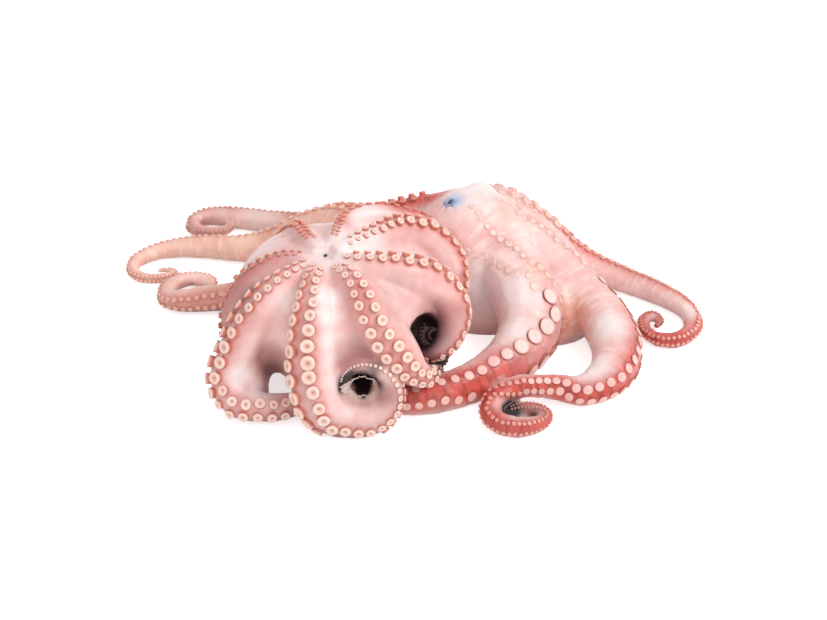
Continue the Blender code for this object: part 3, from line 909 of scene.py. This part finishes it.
def sculpt(skin, where, found, mouth, wrinkled):
    """Raises a mound under each sucker, draws in the groove between the rows and adds wrinkles."""
    mesh = skin.data
    places = vertex_places(mesh)
    normals = vertex_normals(mesh)
    gaps, heights, ways = nearest_suckers(places, found)
    places += ways * (np.exp(-(gaps / 0.62) ** 2) * heights)[:, None]
    groove = np.exp(-(where.turn / 0.22) ** 2) * where.on_arm * where.thick * 0.035
    wrinkle = ripple(places, 5, 3) * 0.16 + ripple(places, 2.6, 4) * 0.07
    # Fine wrinkles run across each arm: the noise is drawn out around it.
    across = np.stack([
        where.along, 0.22 * where.thick * np.cos(where.turn), 0.22 * where.thick * np.sin(where.turn),
    ], axis=1)
    streak = ripple(across, 2.4, 5) * where.on_arm * wrinkled
    places += normals * ((wrinkle + streak * 0.14) * MM - groove)[:, None]
    pucker(places, normals, mouth)
    places[:, 2] = np.maximum(places[:, 2], 0.0)
    set_vertex_places(mesh, places)
    set_mask(mesh, "streak", np.clip(0.5 + 0.5 * streak, 0, 1))
    return gaps


# Soft washes of tint over the skin: centre and reach in mm, which tint, and how strong. The whitening
# washes are painted highlights and painted light on shaded parts; the darkening ones are painted
# shade in hollows, under the arms and in the eye of the rolled-up arm; coral, tan and blue are the
# skin's own colour.
CROWN_WASHES = [
    ((-64, -44, 112), 38, "bloom", 0.8),
    ((-46, -28, 115), 40, "bloom", 1.0),
    ((-40, 22, 106), 34, "bloom", 0.9),
    ((6, -24, 108), 26, "bloom", 0.6),
    ((-63, -90, 105), 16, "bloom", 1.0),
    ((-62, -100, 94), 15, "bloom", 1.0),
    ((-61, -108, 79), 14, "bloom", 0.9),
    ((-60, -113, 62), 14, "bloom", 0.7),
    ((-60, -119, 47), 14, "bloom", 0.6),
    ((-48, -127, 26), 16, "bloom", 0.2),
    ((-96, -84, 96), 16, "bloom", 0.5),
    ((-131, -96, 36), 16, "bloom", 0.9),
    ((-115, -99, 23), 18, "bloom", 1.0),
    ((-132, -40, 60), 50, "dusk", 0.85),
    ((-128, -66, 88), 26, "dusk", 0.7),
    ((-110, -60, 104), 16, "dusk", 0.35),
    ((-106, -86, 44), 26, "dusk", 0.85),
    ((-107, -80, 34), 17, "murk", 0.7),
    ((-38, -94, 62), 26, "dusk", 0.9),
    ((-13, -72, 98), 22, "dusk", 0.3),
    ((-12, -90, 95), 20, "dusk", 0.25),
    ((32, -60, 72), 26, "coral", 0.4),
    ((32, -60, 68), 22, "dusk", 0.5),
    ((14, -68, 62), 32, "dusk", 1.0),
    ((8, -62, 50), 29, "murk", 1.4),
    ((-20, -120, 38), 18, "dusk", 0.8),
    ((-46, -112, 58), 18, "dusk", 0.7),
    ((-52, -116, 40), 8, "murk", 1.6),
    ((-50, -117, 45), 9, "murk", 2.2),
    ((-45, -117, 49), 9, "murk", 2.2),
    ((-38, -117, 50), 8.5, "murk", 2.0),
    ((-31, -117, 48), 8, "murk", 1.8),
    ((-26, -118, 45), 7, "murk", 1.2),
    ((-39, -92, 38), 20, "murk", 1.6),
    ((-38, -104, 30), 9, "murk", 2.0),
    ((-38, -109, 28), 6, "murk", 1.6),
    ((-30, -114, 55), 10, "murk", 0.9),
    ((-128, -104, 4), 15, "dusk", 1.1),
    ((-108, -109, 4), 15, "dusk", 1.3),
    ((-90, -111, 4), 15, "dusk", 1.3),
    ((-50, -130, 5), 15, "dusk", 0.6),
]
# The rear crown's washes: here too the whitening ones are painted light and the darkening ones painted
# shade.
REAR_WASHES = [
    ((34, 57, 98), 13, "blue", 1.3),
    ((52, 80, 104), 36, "bloom", 0.9),
    ((50, 58, 98), 34, "bloom", 0.5),
    ((70, 47, 93), 20, "tan", 0.6),
    ((82, 72, 84), 40, "tan", 0.35),
    ((60, 20, 44), 44, "bloom", 1.0),
    ((94, 40, 72), 32, "bloom", 0.5),
    ((84, -14, 58), 28, "bloom", 0.9),
    ((80, -46, 44), 24, "bloom", 0.8),
    ((100, 6, 66), 22, "tan", 0.6),
    ((128, 2, 26), 28, "tan", 1.0),
    ((130, -8, 22), 22, "coral", 0.3),
    ((150, -34, 42), 26, "bloom", 1.0),
    ((137, -74, 30), 22, "bloom", 1.0),
    ((226, 22, 18), 16, "bloom", 0.8),
    ((21, -104, 8), 22, "dusk", 0.7),
    ((112, -93, 14), 15, "coral", 1.0),
    ((60, -124, 14), 20, "coral", 1.0),
    ((74, -104, 6), 16, "murk", 2.0),
    ((92, -110, 8), 15, "dusk", 1.0),
    ((206, 2, 8), 34, "coral", 1.0),
    ((-125, 124, 34), 20, "coral", 0.6),
    ((198, 10, 6), 12, "dusk", 0.8),
    ((-138, 172, 22), 30, "bloom", 0.6),
    ((-190, 174, 4), 14, "dusk", 0.9),
]


def tint(skin, where, gaps, washes, shade_below):
    mesh = skin.data
    places = vertex_places(mesh)
    # Painted shade: skin that faces down within 15 mm of the floor is darkened, as strongly as the given
    # share.
    down = smoothstep(0.75, -0.25, vertex_normals(mesh)[:, 2])
    base = smoothstep(15 * MM, 2 * MM, places[:, 2]) * down * shade_below
    facing = smoothstep(math.radians(95), math.radians(35), np.abs(where.turn)) * where.on_arm
    masks = {
        "coral": where.table("coral") * facing,
        # Painted shade: the low undersides, or the arm's own shade table, stronger on the sucker side.
        "dusk": np.maximum(base, where.table("dusk") * (0.35 + 0.65 * facing) * where.on_arm),
        "tan": where.table("tan") * where.on_arm,
        # Painted light: it comes only from the washes.
        "bloom": np.zeros(len(places)),
        # Painted deep shade: it comes only from the washes.
        "murk": np.zeros(len(places)),
        "blue": np.zeros(len(places)),
    }
    for centre, reach, name, strength in washes:
        gap = np.linalg.norm(places - placed([centre])[0], axis=1) / (reach * MM)
        masks[name] = np.maximum(masks[name], strength * (1 - smoothstep(0.2, 1.0, gap)))
    for name, values in masks.items():
        set_mask(mesh, name, np.clip(relaxed(mesh, values, 10), 0, 1))
    # The stalks' own orange-brown, partly painted shadow: a ring round the foot of each sucker.
    set_mask(mesh, "halo", np.exp(-((gaps - 0.45) / 0.22) ** 2))
    # Painted shade in creases: the further a vertex lies below its smoothed neighbours, the darker it is.
    hollow = np.sum((relaxed(mesh, places, 30) - places) * vertex_normals(mesh), axis=1)
    set_mask(mesh, "crease", np.clip(relaxed(mesh, hollow, 3) / (0.9 * MM), 0, 1))


# ---- materials ----------------------------------------------------------------------------
def rgb(red, green, blue):
    """A colour as seen, 0 to 255, as the linear values a shader takes."""
    def linear(value):
        value /= 255
        return value / 12.92 if value <= 0.04045 else ((value + 0.055) / 1.055) ** 2.4
    return (linear(red), linear(green), linear(blue), 1.0)


class Nodes:
    """A short way to write a node tree."""

    def __init__(self, tree):
        self.tree = tree

    def add(self, kind, inputs=None, **settings):
        node = self.tree.nodes.new(kind)
        for name, value in settings.items():
            setattr(node, name, value)
        for name, value in (inputs or {}).items():
            self.feed(node.inputs[name], value)
        return node

    def feed(self, socket, value):
        if isinstance(value, bpy.types.NodeSocket):
            self.tree.links.new(value, socket)
        else:
            socket.default_value = value

    def mask(self, name):
        return self.add("ShaderNodeAttribute", attribute_name=name).outputs["Fac"]

    def math(self, operation, first, second=0.0):
        return self.add("ShaderNodeMath", {0: first, 1: second}, operation=operation).outputs[0]

    def mix(self, share, first, second, blend="MIX"):
        node = self.add("ShaderNodeMix", data_type="RGBA", blend_type=blend)
        sockets = {socket.identifier: socket for socket in node.inputs}
        self.feed(sockets["Factor_Float"], share)
        self.feed(sockets["A_Color"], first)
        self.feed(sockets["B_Color"], second)
        return {socket.identifier: socket for socket in node.outputs}["Result_Color"]

    def part(self, value, share):
        """A mask at a share of its strength."""
        return self.math("MULTIPLY", value, share)

    def noise(self, place, scale, detail=4.0, roughness=0.55):
        node = self.add(
            "ShaderNodeTexNoise",
            {"Vector": place, "Scale": scale, "Detail": detail, "Roughness": roughness},
        )
        return node.outputs["Fac"]

    def span(self, value, low, high, to_low=0.0, to_high=1.0):
        node = self.add("ShaderNodeMapRange", {
            "Value": value, "From Min": low, "From Max": high, "To Min": to_low, "To Max": to_high,
        })
        return node.outputs["Result"]


def new_group(name, inputs, outputs):
    group = bpy.data.node_groups.new(name, "ShaderNodeTree")
    for label, kind in inputs:
        group.interface.new_socket(name=label, in_out="INPUT", socket_type=kind)
    for label, kind in outputs:
        group.interface.new_socket(name=label, in_out="OUTPUT", socket_type=kind)
    nodes = Nodes(group)
    return group, nodes, nodes.add("NodeGroupInput"), nodes.add("NodeGroupOutput")


def mottling_group():
    """Cloudy patches and fine specks under the skin."""
    group, nodes, given, out = new_group(
        "mottling", [("Patch", "NodeSocketFloat"), ("Speck", "NodeSocketFloat")],
        [("Patches", "NodeSocketFloat"), ("Specks", "NodeSocketFloat")],
    )
    place = nodes.add("ShaderNodeTexCoord").outputs["Object"]
    cloud = nodes.noise(place, given.outputs["Patch"], 5.0, 0.6)
    speck = nodes.noise(place, given.outputs["Speck"], 2.0, 0.5)
    nodes.feed(out.inputs["Patches"], nodes.span(cloud, 0.35, 0.68))
    nodes.feed(out.inputs["Specks"], nodes.span(speck, 0.60, 0.74))
    return group


def wet_group():
    """The uneven film of water: how rough and how wet the surface is, and its fine relief."""
    group, nodes, given, out = new_group(
        "wet film", [("Dry", "NodeSocketFloat"), ("Grain", "NodeSocketFloat")],
        [("Roughness", "NodeSocketFloat"), ("Film", "NodeSocketFloat"), ("Relief", "NodeSocketFloat")],
    )
    place = nodes.add("ShaderNodeTexCoord").outputs["Object"]
    film = nodes.noise(place, 70.0, 4.0, 0.6)
    fine = nodes.noise(place, given.outputs["Grain"], 3.0, 0.6)
    rough = nodes.span(film, 0.3, 0.7, -0.07, 0.10)
    nodes.feed(out.inputs["Roughness"], nodes.math("ADD", given.outputs["Dry"], rough))
    nodes.feed(out.inputs["Film"], nodes.span(film, 0.35, 0.65, 0.45, 0.15))
    nodes.feed(out.inputs["Relief"], fine)
    return group


MOTTLING = mottling_group()
WET = wet_group()


def group_node(nodes, group, **values):
    node = nodes.add("ShaderNodeGroup", node_tree=group)
    for name, value in values.items():
        nodes.feed(node.inputs[name], value)
    return node


def wet_shader(material, nodes, colour, dry, grain, relief, scatter):
    """The material's shader, under the film of water."""
    shader = material.node_tree.nodes["Principled BSDF"]
    wet = group_node(nodes, WET, Dry=dry, Grain=grain)
    bump = nodes.add("ShaderNodeBump", {"Height": wet.outputs["Relief"], "Strength": 0.35,
                                        "Distance": relief * MM})
    nodes.feed(shader.inputs["Base Color"], colour)
    nodes.feed(shader.inputs["Roughness"], wet.outputs["Roughness"])
    nodes.feed(shader.inputs["Coat Weight"], wet.outputs["Film"])
    nodes.feed(shader.inputs["Normal"], bump.outputs["Normal"])
    shader.inputs["Coat Roughness"].default_value = 0.12
    shader.inputs["IOR"].default_value = 1.4
    shader.inputs["Subsurface Weight"].default_value = scatter
    shader.inputs["Subsurface Radius"].default_value = (1.0, 0.42, 0.28)
    shader.inputs["Subsurface Scale"].default_value = 0.005
    return shader


def new_material(name):
    material = bpy.data.materials.new(name)
    material.use_nodes = True
    return material, Nodes(material.node_tree)


def flesh_material():
    material, nodes = new_material("wet flesh")
    mottle = group_node(nodes, MOTTLING, Patch=32.0, Speck=700.0)
    patches, specks = mottle.outputs["Patches"], mottle.outputs["Specks"]
    streak = nodes.mask("streak")
    colour = nodes.mix(patches, rgb(243, 210, 205), rgb(230, 176, 172))
    tan = nodes.mix(patches, rgb(238, 200, 178), rgb(228, 172, 150))
    colour = nodes.mix(nodes.mask("tan"), colour, tan)
    # A ring round each sucker's foot: the stalks' own orange-brown, partly painted shadow.
    colour = nodes.mix(nodes.part(nodes.mask("halo"), 0.55), colour, rgb(204, 122, 104))
    # Painted shade in the creases.
    colour = nodes.mix(nodes.part(nodes.mask("crease"), 0.35), colour, rgb(190, 116, 106))
    coral = nodes.mix(patches, rgb(220, 98, 80), rgb(190, 56, 50))
    coral = nodes.mix(nodes.part(nodes.span(streak, 0.45, 0.75), 0.6), coral, rgb(150, 40, 40))
    # Painted shade in the creases of the coral skin.
    coral = nodes.mix(nodes.part(nodes.mask("crease"), 0.5), coral, rgb(132, 34, 36))
    colour = nodes.mix(nodes.mask("coral"), colour, coral)
    # Painted highlights, and painted light on shaded parts, near white.
    colour = nodes.mix(nodes.part(nodes.mask("bloom"), 0.82), colour, rgb(248, 237, 235))
    pale_streak = nodes.math("SUBTRACT", nodes.span(streak, 0.55, 0.95), nodes.mask("coral"))
    colour = nodes.mix(nodes.part(nodes.span(pale_streak, 0.0, 1.0), 0.35), colour, rgb(250, 232, 224))
    # Painted shade, mauve-brown.
    colour = nodes.mix(nodes.mask("dusk"), colour, rgb(162, 108, 104))
    colour = nodes.mix(nodes.part(specks, 0.10), colour, rgb(190, 96, 86))
    colour = nodes.mix(nodes.part(nodes.mask("blue"), 0.85), colour, rgb(180, 196, 228))
    # Painted deep shade, near black.
    colour = nodes.mix(nodes.mask("murk"), colour, rgb(46, 30, 31))
    wet_shader(material, nodes, colour, 0.36, 900.0, 0.5, 0.3)
    return material


def ramp(nodes, share, stops):
    node = nodes.add("ShaderNodeValToRGB", {"Fac": share})
    bar = node.color_ramp.elements
    bar[0].position, bar[0].color = stops[0]
    bar[1].position, bar[1].color = stops[-1]
    for position, colour in stops[1:-1]:
        bar.new(position).color = colour
    return node.outputs["Color"]


def sucker_material(name, colours, tinted):
    """A sucker's colours at equal steps from its foot, over the rim and into the cup."""
    material, nodes = new_material(name)
    mottle = group_node(nodes, MOTTLING, Patch=180.0, Speck=900.0)
    stops = [(i / (len(colours) - 1), rgb(*colour)) for i, colour in enumerate(colours)]
    colour = ramp(nodes, nodes.mask("ring"), stops)
    colour = nodes.mix(nodes.part(nodes.mask("tone"), 0.25), colour, rgb(238, 184, 170))
    colour = nodes.mix(nodes.part(mottle.outputs["Patches"], 0.2), colour, rgb(226, 168, 150))
    colour = nodes.mix(nodes.part(nodes.mask("tan"), 0.5 * tinted), colour, rgb(234, 192, 160))
    colour = nodes.mix(nodes.part(nodes.mask("coral"), 0.7 * tinted), colour, rgb(214, 96, 86))
    # Painted shade on suckers that lie in shade.
    colour = nodes.mix(nodes.part(nodes.mask("dusk"), 0.85 * tinted), colour, rgb(96, 62, 58))
    wet_shader(material, nodes, colour, 0.34, 1400.0, 0.3, 0.2)
    return material


def membrane_material(name, pale, deep, film):
    """Thin wet skin, whiter than the flesh, with clouds of a deeper tone and painted deep shade where its
    mask is set.
    """
    material, nodes = new_material(name)
    mottle = group_node(nodes, MOTTLING, Patch=240.0, Speck=1500.0)
    colour = nodes.mix(mottle.outputs["Patches"], pale, deep)
    colour = nodes.mix(nodes.mask("murk"), colour, rgb(60, 42, 42))
    wet_shader(material, nodes, colour, film, 1800.0, 0.2, 0.25)
    return material


def horn_material(name, dark, edge):
    """The hard, glossy horn of the beak, paler in patches."""
    material, nodes = new_material(name)
    mottle = group_node(nodes, MOTTLING, Patch=420.0, Speck=1500.0)
    colour = nodes.mix(nodes.part(mottle.outputs["Patches"], 0.6), dark, edge)
    wet_shader(material, nodes, colour, 0.22, 1600.0, 0.2, 0.0)
    return material


FLESH = flesh_material()
CREAM = membrane_material("torn membrane", rgb(232, 211, 199), rgb(194, 158, 147), 0.5)
LIP = membrane_material("lips", rgb(246, 232, 226), rgb(222, 190, 182), 0.4)
BLUE_LIP = membrane_material("bluish lips", rgb(176, 190, 218), rgb(120, 136, 170), 0.4)
BEAK = horn_material("beak horn", rgb(38, 34, 38), rgb(92, 84, 88))
BLUE_BEAK = horn_material("dark spot", rgb(40, 48, 66), rgb(96, 116, 152))
# Which share of the arm's own tint a kind of sucker takes on, and its colours from foot to pit.
SUCKER_MATERIALS = {
    "ring": sucker_material("ring suckers", [
        (206, 118, 100), (214, 130, 112), (240, 190, 174), (250, 228, 216), (248, 224, 210),
        (240, 196, 180), (190, 132, 116),
    ], 0.35),
    # The dark foot of a disc sucker is its thin outline, partly painted shadow at its edge.
    "disc": sucker_material("disc suckers", [
        (128, 66, 58), (128, 66, 58), (136, 74, 66), (243, 206, 199), (249, 225, 219),
        (249, 220, 213), (245, 209, 201),
    ], 0.5),
    "faint": sucker_material("faint suckers", [
        (245, 216, 210), (244, 208, 198), (240, 194, 176), (244, 210, 200), (246, 216, 209),
        (243, 206, 196),
    ], 0.2),
    "bump": sucker_material("bump suckers", [
        (240, 198, 190), (238, 188, 176), (242, 196, 180), (248, 216, 204), (242, 198, 184),
        (232, 176, 158),
    ], 0.4),
    "coral": sucker_material("coral suckers", [
        (208, 110, 94), (214, 120, 102), (232, 160, 138), (242, 186, 164), (222, 142, 120),
        (186, 92, 80),
    ], 0.5),
    "small": sucker_material("small suckers", [
        (222, 146, 132), (228, 158, 142), (246, 206, 190), (244, 198, 180), (208, 146, 128),
    ], 0.6),
    "pearl": sucker_material("pearl suckers", [
        (216, 176, 168), (230, 196, 186), (250, 230, 220), (246, 218, 206), (214, 176, 164),
    ], 0.3),
}


# ---- the octopus --------------------------------------------------------------------------
def finished(piece, material):
    piece.data.materials.clear()
    piece.data.materials.append(material)
    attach(piece, "root")
    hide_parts("octopus")


def add_suckers(arm, found):
    """An arm's suckers, one piece for each kind that it has."""
    for kind, material in SUCKER_MATERIALS.items():
        same = [sucker for sucker in found if sucker.kind == kind]
        if same:
            name = kind + "_suckers_" + arm.name
            finished(sucker_rows(name, same, random.Random(name)), material)


def build_crown(name, tables, webs, washes, mouth, wrinkled, shade_below):
    arms = [Arm(label, **table) for label, table in tables.items()]
    skin = make_skin(name, arms, webs)
    surface = BVHTree.FromObject(skin, bpy.context.evaluated_depsgraph_get())
    every = []
    for arm in arms:
        found = sucker_places(arm, surface, every, random.Random(arm.name))
        add_suckers(arm, found)
        every += found
    where = SkinMap(skin, arms)
    gaps = sculpt(skin, where, every, mouth, wrinkled)
    tint(skin, where, gaps, washes, shade_below)
    thinned(skin)
    skin.data.shade_smooth()
    finished(skin, FLESH)
    return skin


def tucked_tip(name, table):
    """A small coiled arm tip that lies free in the hollow."""
    arm = Arm(name, **table)
    tip = arm_tube(arm)
    tip.name = tip.data.name = name
    surface = BVHTree.FromObject(tip, bpy.context.evaluated_depsgraph_get())
    add_suckers(arm, sucker_places(arm, surface, [], random.Random(name), first=1.0))
    # Painted shade: the whole tip is darkened as if in the hollow's shade, with deep shade at a share of it.
    set_mask(tip.data, "dusk", np.full(len(tip.data.vertices), arm.value("dusk", 0)))
    set_mask(tip.data, "murk", np.full(len(tip.data.vertices), 0.6 * arm.value("dusk", 0)))
    tip.data.shade_smooth()
    finished(tip, FLESH)


def lathed(name, sides, profile):
    """A ring of quads: a circle extruded and sized step by step through radius and height, mm."""
    deselect()
    radius, height = profile[0]
    bpy.ops.mesh.primitive_circle_add(vertices=sides, radius=radius * MM, location=(0, 0, height * MM))
    ring = bpy.context.object
    bpy.ops.object.transform_apply(location=True)
    bpy.ops.object.mode_set(mode="EDIT")
    bpy.ops.mesh.select_all(action="SELECT")
    for (radius, height), (wider, higher) in zip(profile, profile[1:]):
        bpy.ops.mesh.extrude_region_move(
            TRANSFORM_OT_translate={"value": (0, 0, (higher - height) * MM)},
        )
        share = wider / radius
        bpy.ops.transform.resize(value=(share, share, 1), center_override=(0, 0, higher * MM))
    bpy.ops.mesh.select_all(action="SELECT")
    bpy.ops.mesh.normals_make_consistent(inside=False)
    bpy.ops.object.mode_set(mode="OBJECT")
    ring.name = ring.data.name = name
    return ring


def skin_surface(skin):
    return BVHTree.FromObject(skin, bpy.context.evaluated_depsgraph_get())


def on_top(skin, x, y):
    """Where a plumb line meets the skin from above, in mm of the runs."""
    above = placed([(x, y, 200)])[0]
    hit = skin_surface(skin).ray_cast(Vector(above), Vector((0, 0, -1)))[0]
    return (x, y, hit.z / MM + SETTLE)


def set_into(piece, centre, normal):
    """Moves and turns a piece made at the origin, facing up, to its place on the skin."""
    turn = np.array(Vector(normal).to_track_quat("Z", "Y").to_matrix())
    set_vertex_places(piece.data, vertex_places(piece.data) @ turn.T + placed([centre])[0])


# The lips: radius and height in mm, from the outer foot under the skin over the lip and inwards.
LIP_PROFILE = [
    (4.6, -1.4), (4.3, -0.2), (3.9, 0.35), (3.4, 0.6), (2.9, 0.45), (2.4, -0.1), (2.0, -0.9),
    (1.9, -2.2), (2.4, -2.8), (4.4, -2.2), (4.6, -1.4),
]
BEAK_RINGS = [(1.7, -2.4), (1.75, -1.2), (1.5, -0.2), (1.0, 0.6), (0.5, 1.1), (0.12, 1.3)]


def lips(name, centre, normal, size, folds, material):
    """The soft ring round the beak, drawn up in folds."""
    ring = lathed(name, 78, [(radius * size, height * size) for radius, height in LIP_PROFILE])
    places = vertex_places(ring.data)
    around = np.arctan2(places[:, 1], places[:, 0])
    wave = np.cos(folds * around + 1.3 * np.sin(2 * around + 0.6))
    reach = np.linalg.norm(places[:, :2], axis=1)
    places[:, :2] *= (1 + 0.07 * wave)[:, None]
    places[:, 2] += wave * 0.3 * size * MM * smoothstep(1.8 * size * MM, 3.4 * size * MM, reach)
    set_vertex_places(ring.data, places)
    bpy.context.view_layer.objects.active = ring
    bpy.ops.object.mode_set(mode="EDIT")
    bpy.ops.mesh.select_all(action="SELECT")
    bpy.ops.mesh.remove_doubles(threshold=0.00002)
    bpy.ops.mesh.normals_make_consistent(inside=False)
    bpy.ops.object.mode_set(mode="OBJECT")
    set_into(ring, centre, normal)
    ring.data.shade_smooth()
    finished(ring, material)


def beak(name, centre, normal, size, material):
    """The two jaws of the beak: blunt hooks that lean over each other."""
    for jaw, (side, reach) in {"upper": (1, 1.0), "lower": (-1, 0.8)}.items():
        rings = [(radius * size, height * size) for radius, height in BEAK_RINGS]
        horn = lathed(name + "_" + jaw, 16, rings)
        bpy.ops.object.mode_set(mode="EDIT")
        bpy.ops.mesh.select_all(action="SELECT")
        bpy.ops.mesh.edge_face_add()
        bpy.ops.mesh.select_all(action="SELECT")
        bpy.ops.mesh.fill_holes(sides=0)
        bpy.ops.mesh.normals_make_consistent(inside=False)
        bpy.ops.object.mode_set(mode="OBJECT")
        places = vertex_places(horn.data)
        places[:, 1] *= 0.52
        up = np.maximum(places[:, 2] / (1.3 * size * MM), 0)
        places[:, 1] += side * (0.85 - 0.95 * up ** 1.6) * size * MM
        places[:, 2] *= np.where(places[:, 2] > 0, reach, 1.0)
        set_vertex_places(horn.data, places)
        set_into(horn, centre, normal)
        horn.data.shade_smooth()
        finished(horn, material)


# The torn membrane round the eye of the rolled-up arm: how far it reaches out, in mm, for an
# angle in degrees from +X towards +Z, and how the surface is met by a line down and inwards.
RAG_REACH = {0: 1.6, 40: 1.2, 90: 1.0, 140: 1.4, 172: 4.0, 190: 7.5, 208: 6.5, 228: 3.4, 260: 2.4, 310: 2.2,
             360: 1.6}
INWARDS = (0.0, 0.83, -0.56)


def torn_edge(name, skin, centre, inner, seed):
    """The membrane that hangs in rags on the rim of the eye and lies on the skin outside it."""
    rings = 7
    deselect()
    bpy.ops.mesh.primitive_circle_add(vertices=132, radius=1.0, fill_type="NOTHING")
    edge = bpy.context.object
    edge.name = edge.data.name = name
    bpy.ops.object.mode_set(mode="EDIT")
    bpy.ops.mesh.select_all(action="SELECT")
    for _ in range(rings):
        bpy.ops.mesh.extrude_region_move(TRANSFORM_OT_translate={"value": (0, 0, 1)})
    bpy.ops.object.mode_set(mode="OBJECT")
    places = vertex_places(edge.data)
    around = np.arctan2(places[:, 1], places[:, 0])
    share = places[:, 2] / rings
    circle = np.stack([np.cos(around), np.sin(around), np.zeros(len(around))], axis=1) * 30 * MM
    rough = ripple(circle, 9.0, seed)
    rags = ripple(circle, 3.2, seed + 1)
    angles = list(RAG_REACH)
    width = np.interp(np.degrees(around) % 360, angles, [RAG_REACH[angle] for angle in angles])
    width *= 1 + 0.22 * rough + 0.2 * rags * share
    reach = inner + 0.55 * rags + 0.5 * rough + share * np.maximum(width, 0.6)
    x = centre[0] + reach * np.cos(around)
    z = centre[2] + reach * np.sin(around)
    flat = placed(np.stack([x, np.full(len(x), centre[1]), z], axis=1))
    line = Vector(INWARDS).normalized()
    surface = skin_surface(skin)
    depth = np.empty(len(flat))
    for i, place in enumerate(flat):
        start = Vector(place) - line * 60 * MM
        _, _, _, gap = surface.ray_cast(start, line)
        depth[i] = (90 * MM if gap is None else gap) - 60 * MM
    # Inside the rim there is no skin to lie on, so the rags hang straight across.
    depth = np.minimum(depth, 2 * MM)
    depth = relaxed(edge.data, depth, 3) - (0.5 + 0.5 * rags * (1 - share) + 0.35 * rough) * MM
    set_vertex_places(edge.data, flat + np.array(line) * depth[:, None])
    thicken = edge.modifiers.new("thicken", "SOLIDIFY")
    thicken.thickness = 0.5 * MM
    thicken.offset = 0.0
    apply_modifiers(edge)
    edge.data.shade_smooth()
    finished(edge, CREAM)


web_pieces = [crown_web()] + [ball(*mass) for mass in CROWN_MASSES]
for piece in web_pieces:
    cut_hollows(piece)
front = build_crown("front_crown", CROWN_ARMS, web_pieces, CROWN_WASHES, "front_mouth", 0.35, 1.0)
masses = [ball(*mass) for mass in REAR_MASSES + [CURL_SHADOW_WEB]]
rear = build_crown("rear_crown", LYING_ARMS, masses, REAR_WASHES, "rear_mouth", 1.0, 0.5)
for label, table in TUCKED_TIPS.items():
    tucked_tip(label, table)
for label, skin, (x, y), normal, folds, size, lip, horn in (
    ("front", front, (-67, -40), (-0.02, -0.12, 1.0), 13, 1.0, LIP, BEAK),
    ("rear", rear, (30, 55), (-0.2, -0.25, 1.0), 11, 1.35, BLUE_LIP, BLUE_BEAK),
):
    x, y, z = on_top(skin, x, y)
    lips(label + "_lips", (x, y, z + 0.6), normal, 0.9 + 0.2 * size, folds, lip)
    beak(label + "_beak", (x, y, z + 0.6), normal, size, horn)
torn_edge("torn_edge", front, (-38.2, -112, 38.4), 8.8, 11)


# ---- floor, light and camera --------------------------------------------------------------
def make_floor():
    deselect()
    bpy.ops.mesh.primitive_plane_add(size=8.0)
    floor = bpy.context.object
    floor.name = "floor"
    floor.location.z = -0.0002
    material, nodes = new_material("pale floor")
    place = nodes.add("ShaderNodeTexCoord").outputs["Object"]
    cloud = nodes.noise(place, 3.0, 3.0, 0.5)
    shader = material.node_tree.nodes["Principled BSDF"]
    nodes.feed(shader.inputs["Base Color"], nodes.mix(cloud, rgb(246, 246, 246), rgb(250, 250, 250)))
    nodes.feed(shader.inputs["Roughness"], nodes.span(cloud, 0.3, 0.7, 0.7, 0.8))
    # The floor's own glow is only seen, and hardly lights the flesh from below.
    seen = nodes.add("ShaderNodeLightPath").outputs["Is Camera Ray"]
    shader.inputs["Emission Color"].default_value = (1.0, 1.0, 1.0, 1.0)
    nodes.feed(shader.inputs["Emission Strength"], nodes.span(seen, 0.0, 1.0, 0.12, 0.6))
    floor.data.materials.append(material)


def soft_sun(name, toward_light, strength, spread):
    """An even light from one side, as from a wide window: its direction, and its width in degrees."""
    data = bpy.data.lights.new(name, "SUN")
    data.energy = strength
    data.angle = math.radians(spread)
    lamp = bpy.data.objects.new(name, data)
    lamp.location = toward_light
    lamp.rotation_euler = Vector(toward_light).to_track_quat("Z", "Y").to_euler()
    bpy.context.scene.collection.objects.link(lamp)


def make_camera():
    """Looks down at the front from 34 degrees above the surface, 1.3 m away."""
    down = math.radians(34)
    distance = 1.3
    data = bpy.data.cameras.new("camera")
    data.lens = 70
    data.sensor_width = 36
    camera = bpy.data.objects.new("camera", data)
    camera.location = (
        -MIDDLE[0] * MM,
        -distance * math.cos(down) - MIDDLE[1] * MM,
        0.03 + distance * math.sin(down),
    )
    camera.rotation_euler = (math.pi / 2 - down, 0, 0)
    bpy.context.scene.collection.objects.link(camera)
    bpy.context.scene.camera = camera


def make_world():
    world = bpy.data.worlds.new("studio")
    world.use_nodes = True
    world.node_tree.nodes["Background"].inputs["Color"].default_value = (1.0, 1.0, 1.0, 1.0)
    world.node_tree.nodes["Background"].inputs["Strength"].default_value = 0.66
    bpy.context.scene.world = world
    bpy.context.scene.view_settings.view_transform = "Standard"


make_floor()
make_world()
make_camera()
soft_sun("key", (0.75, -0.25, 1.0), 1.75, 40)
soft_sun("fill", (-0.1, -1.0, 0.7), 0.35, 60)
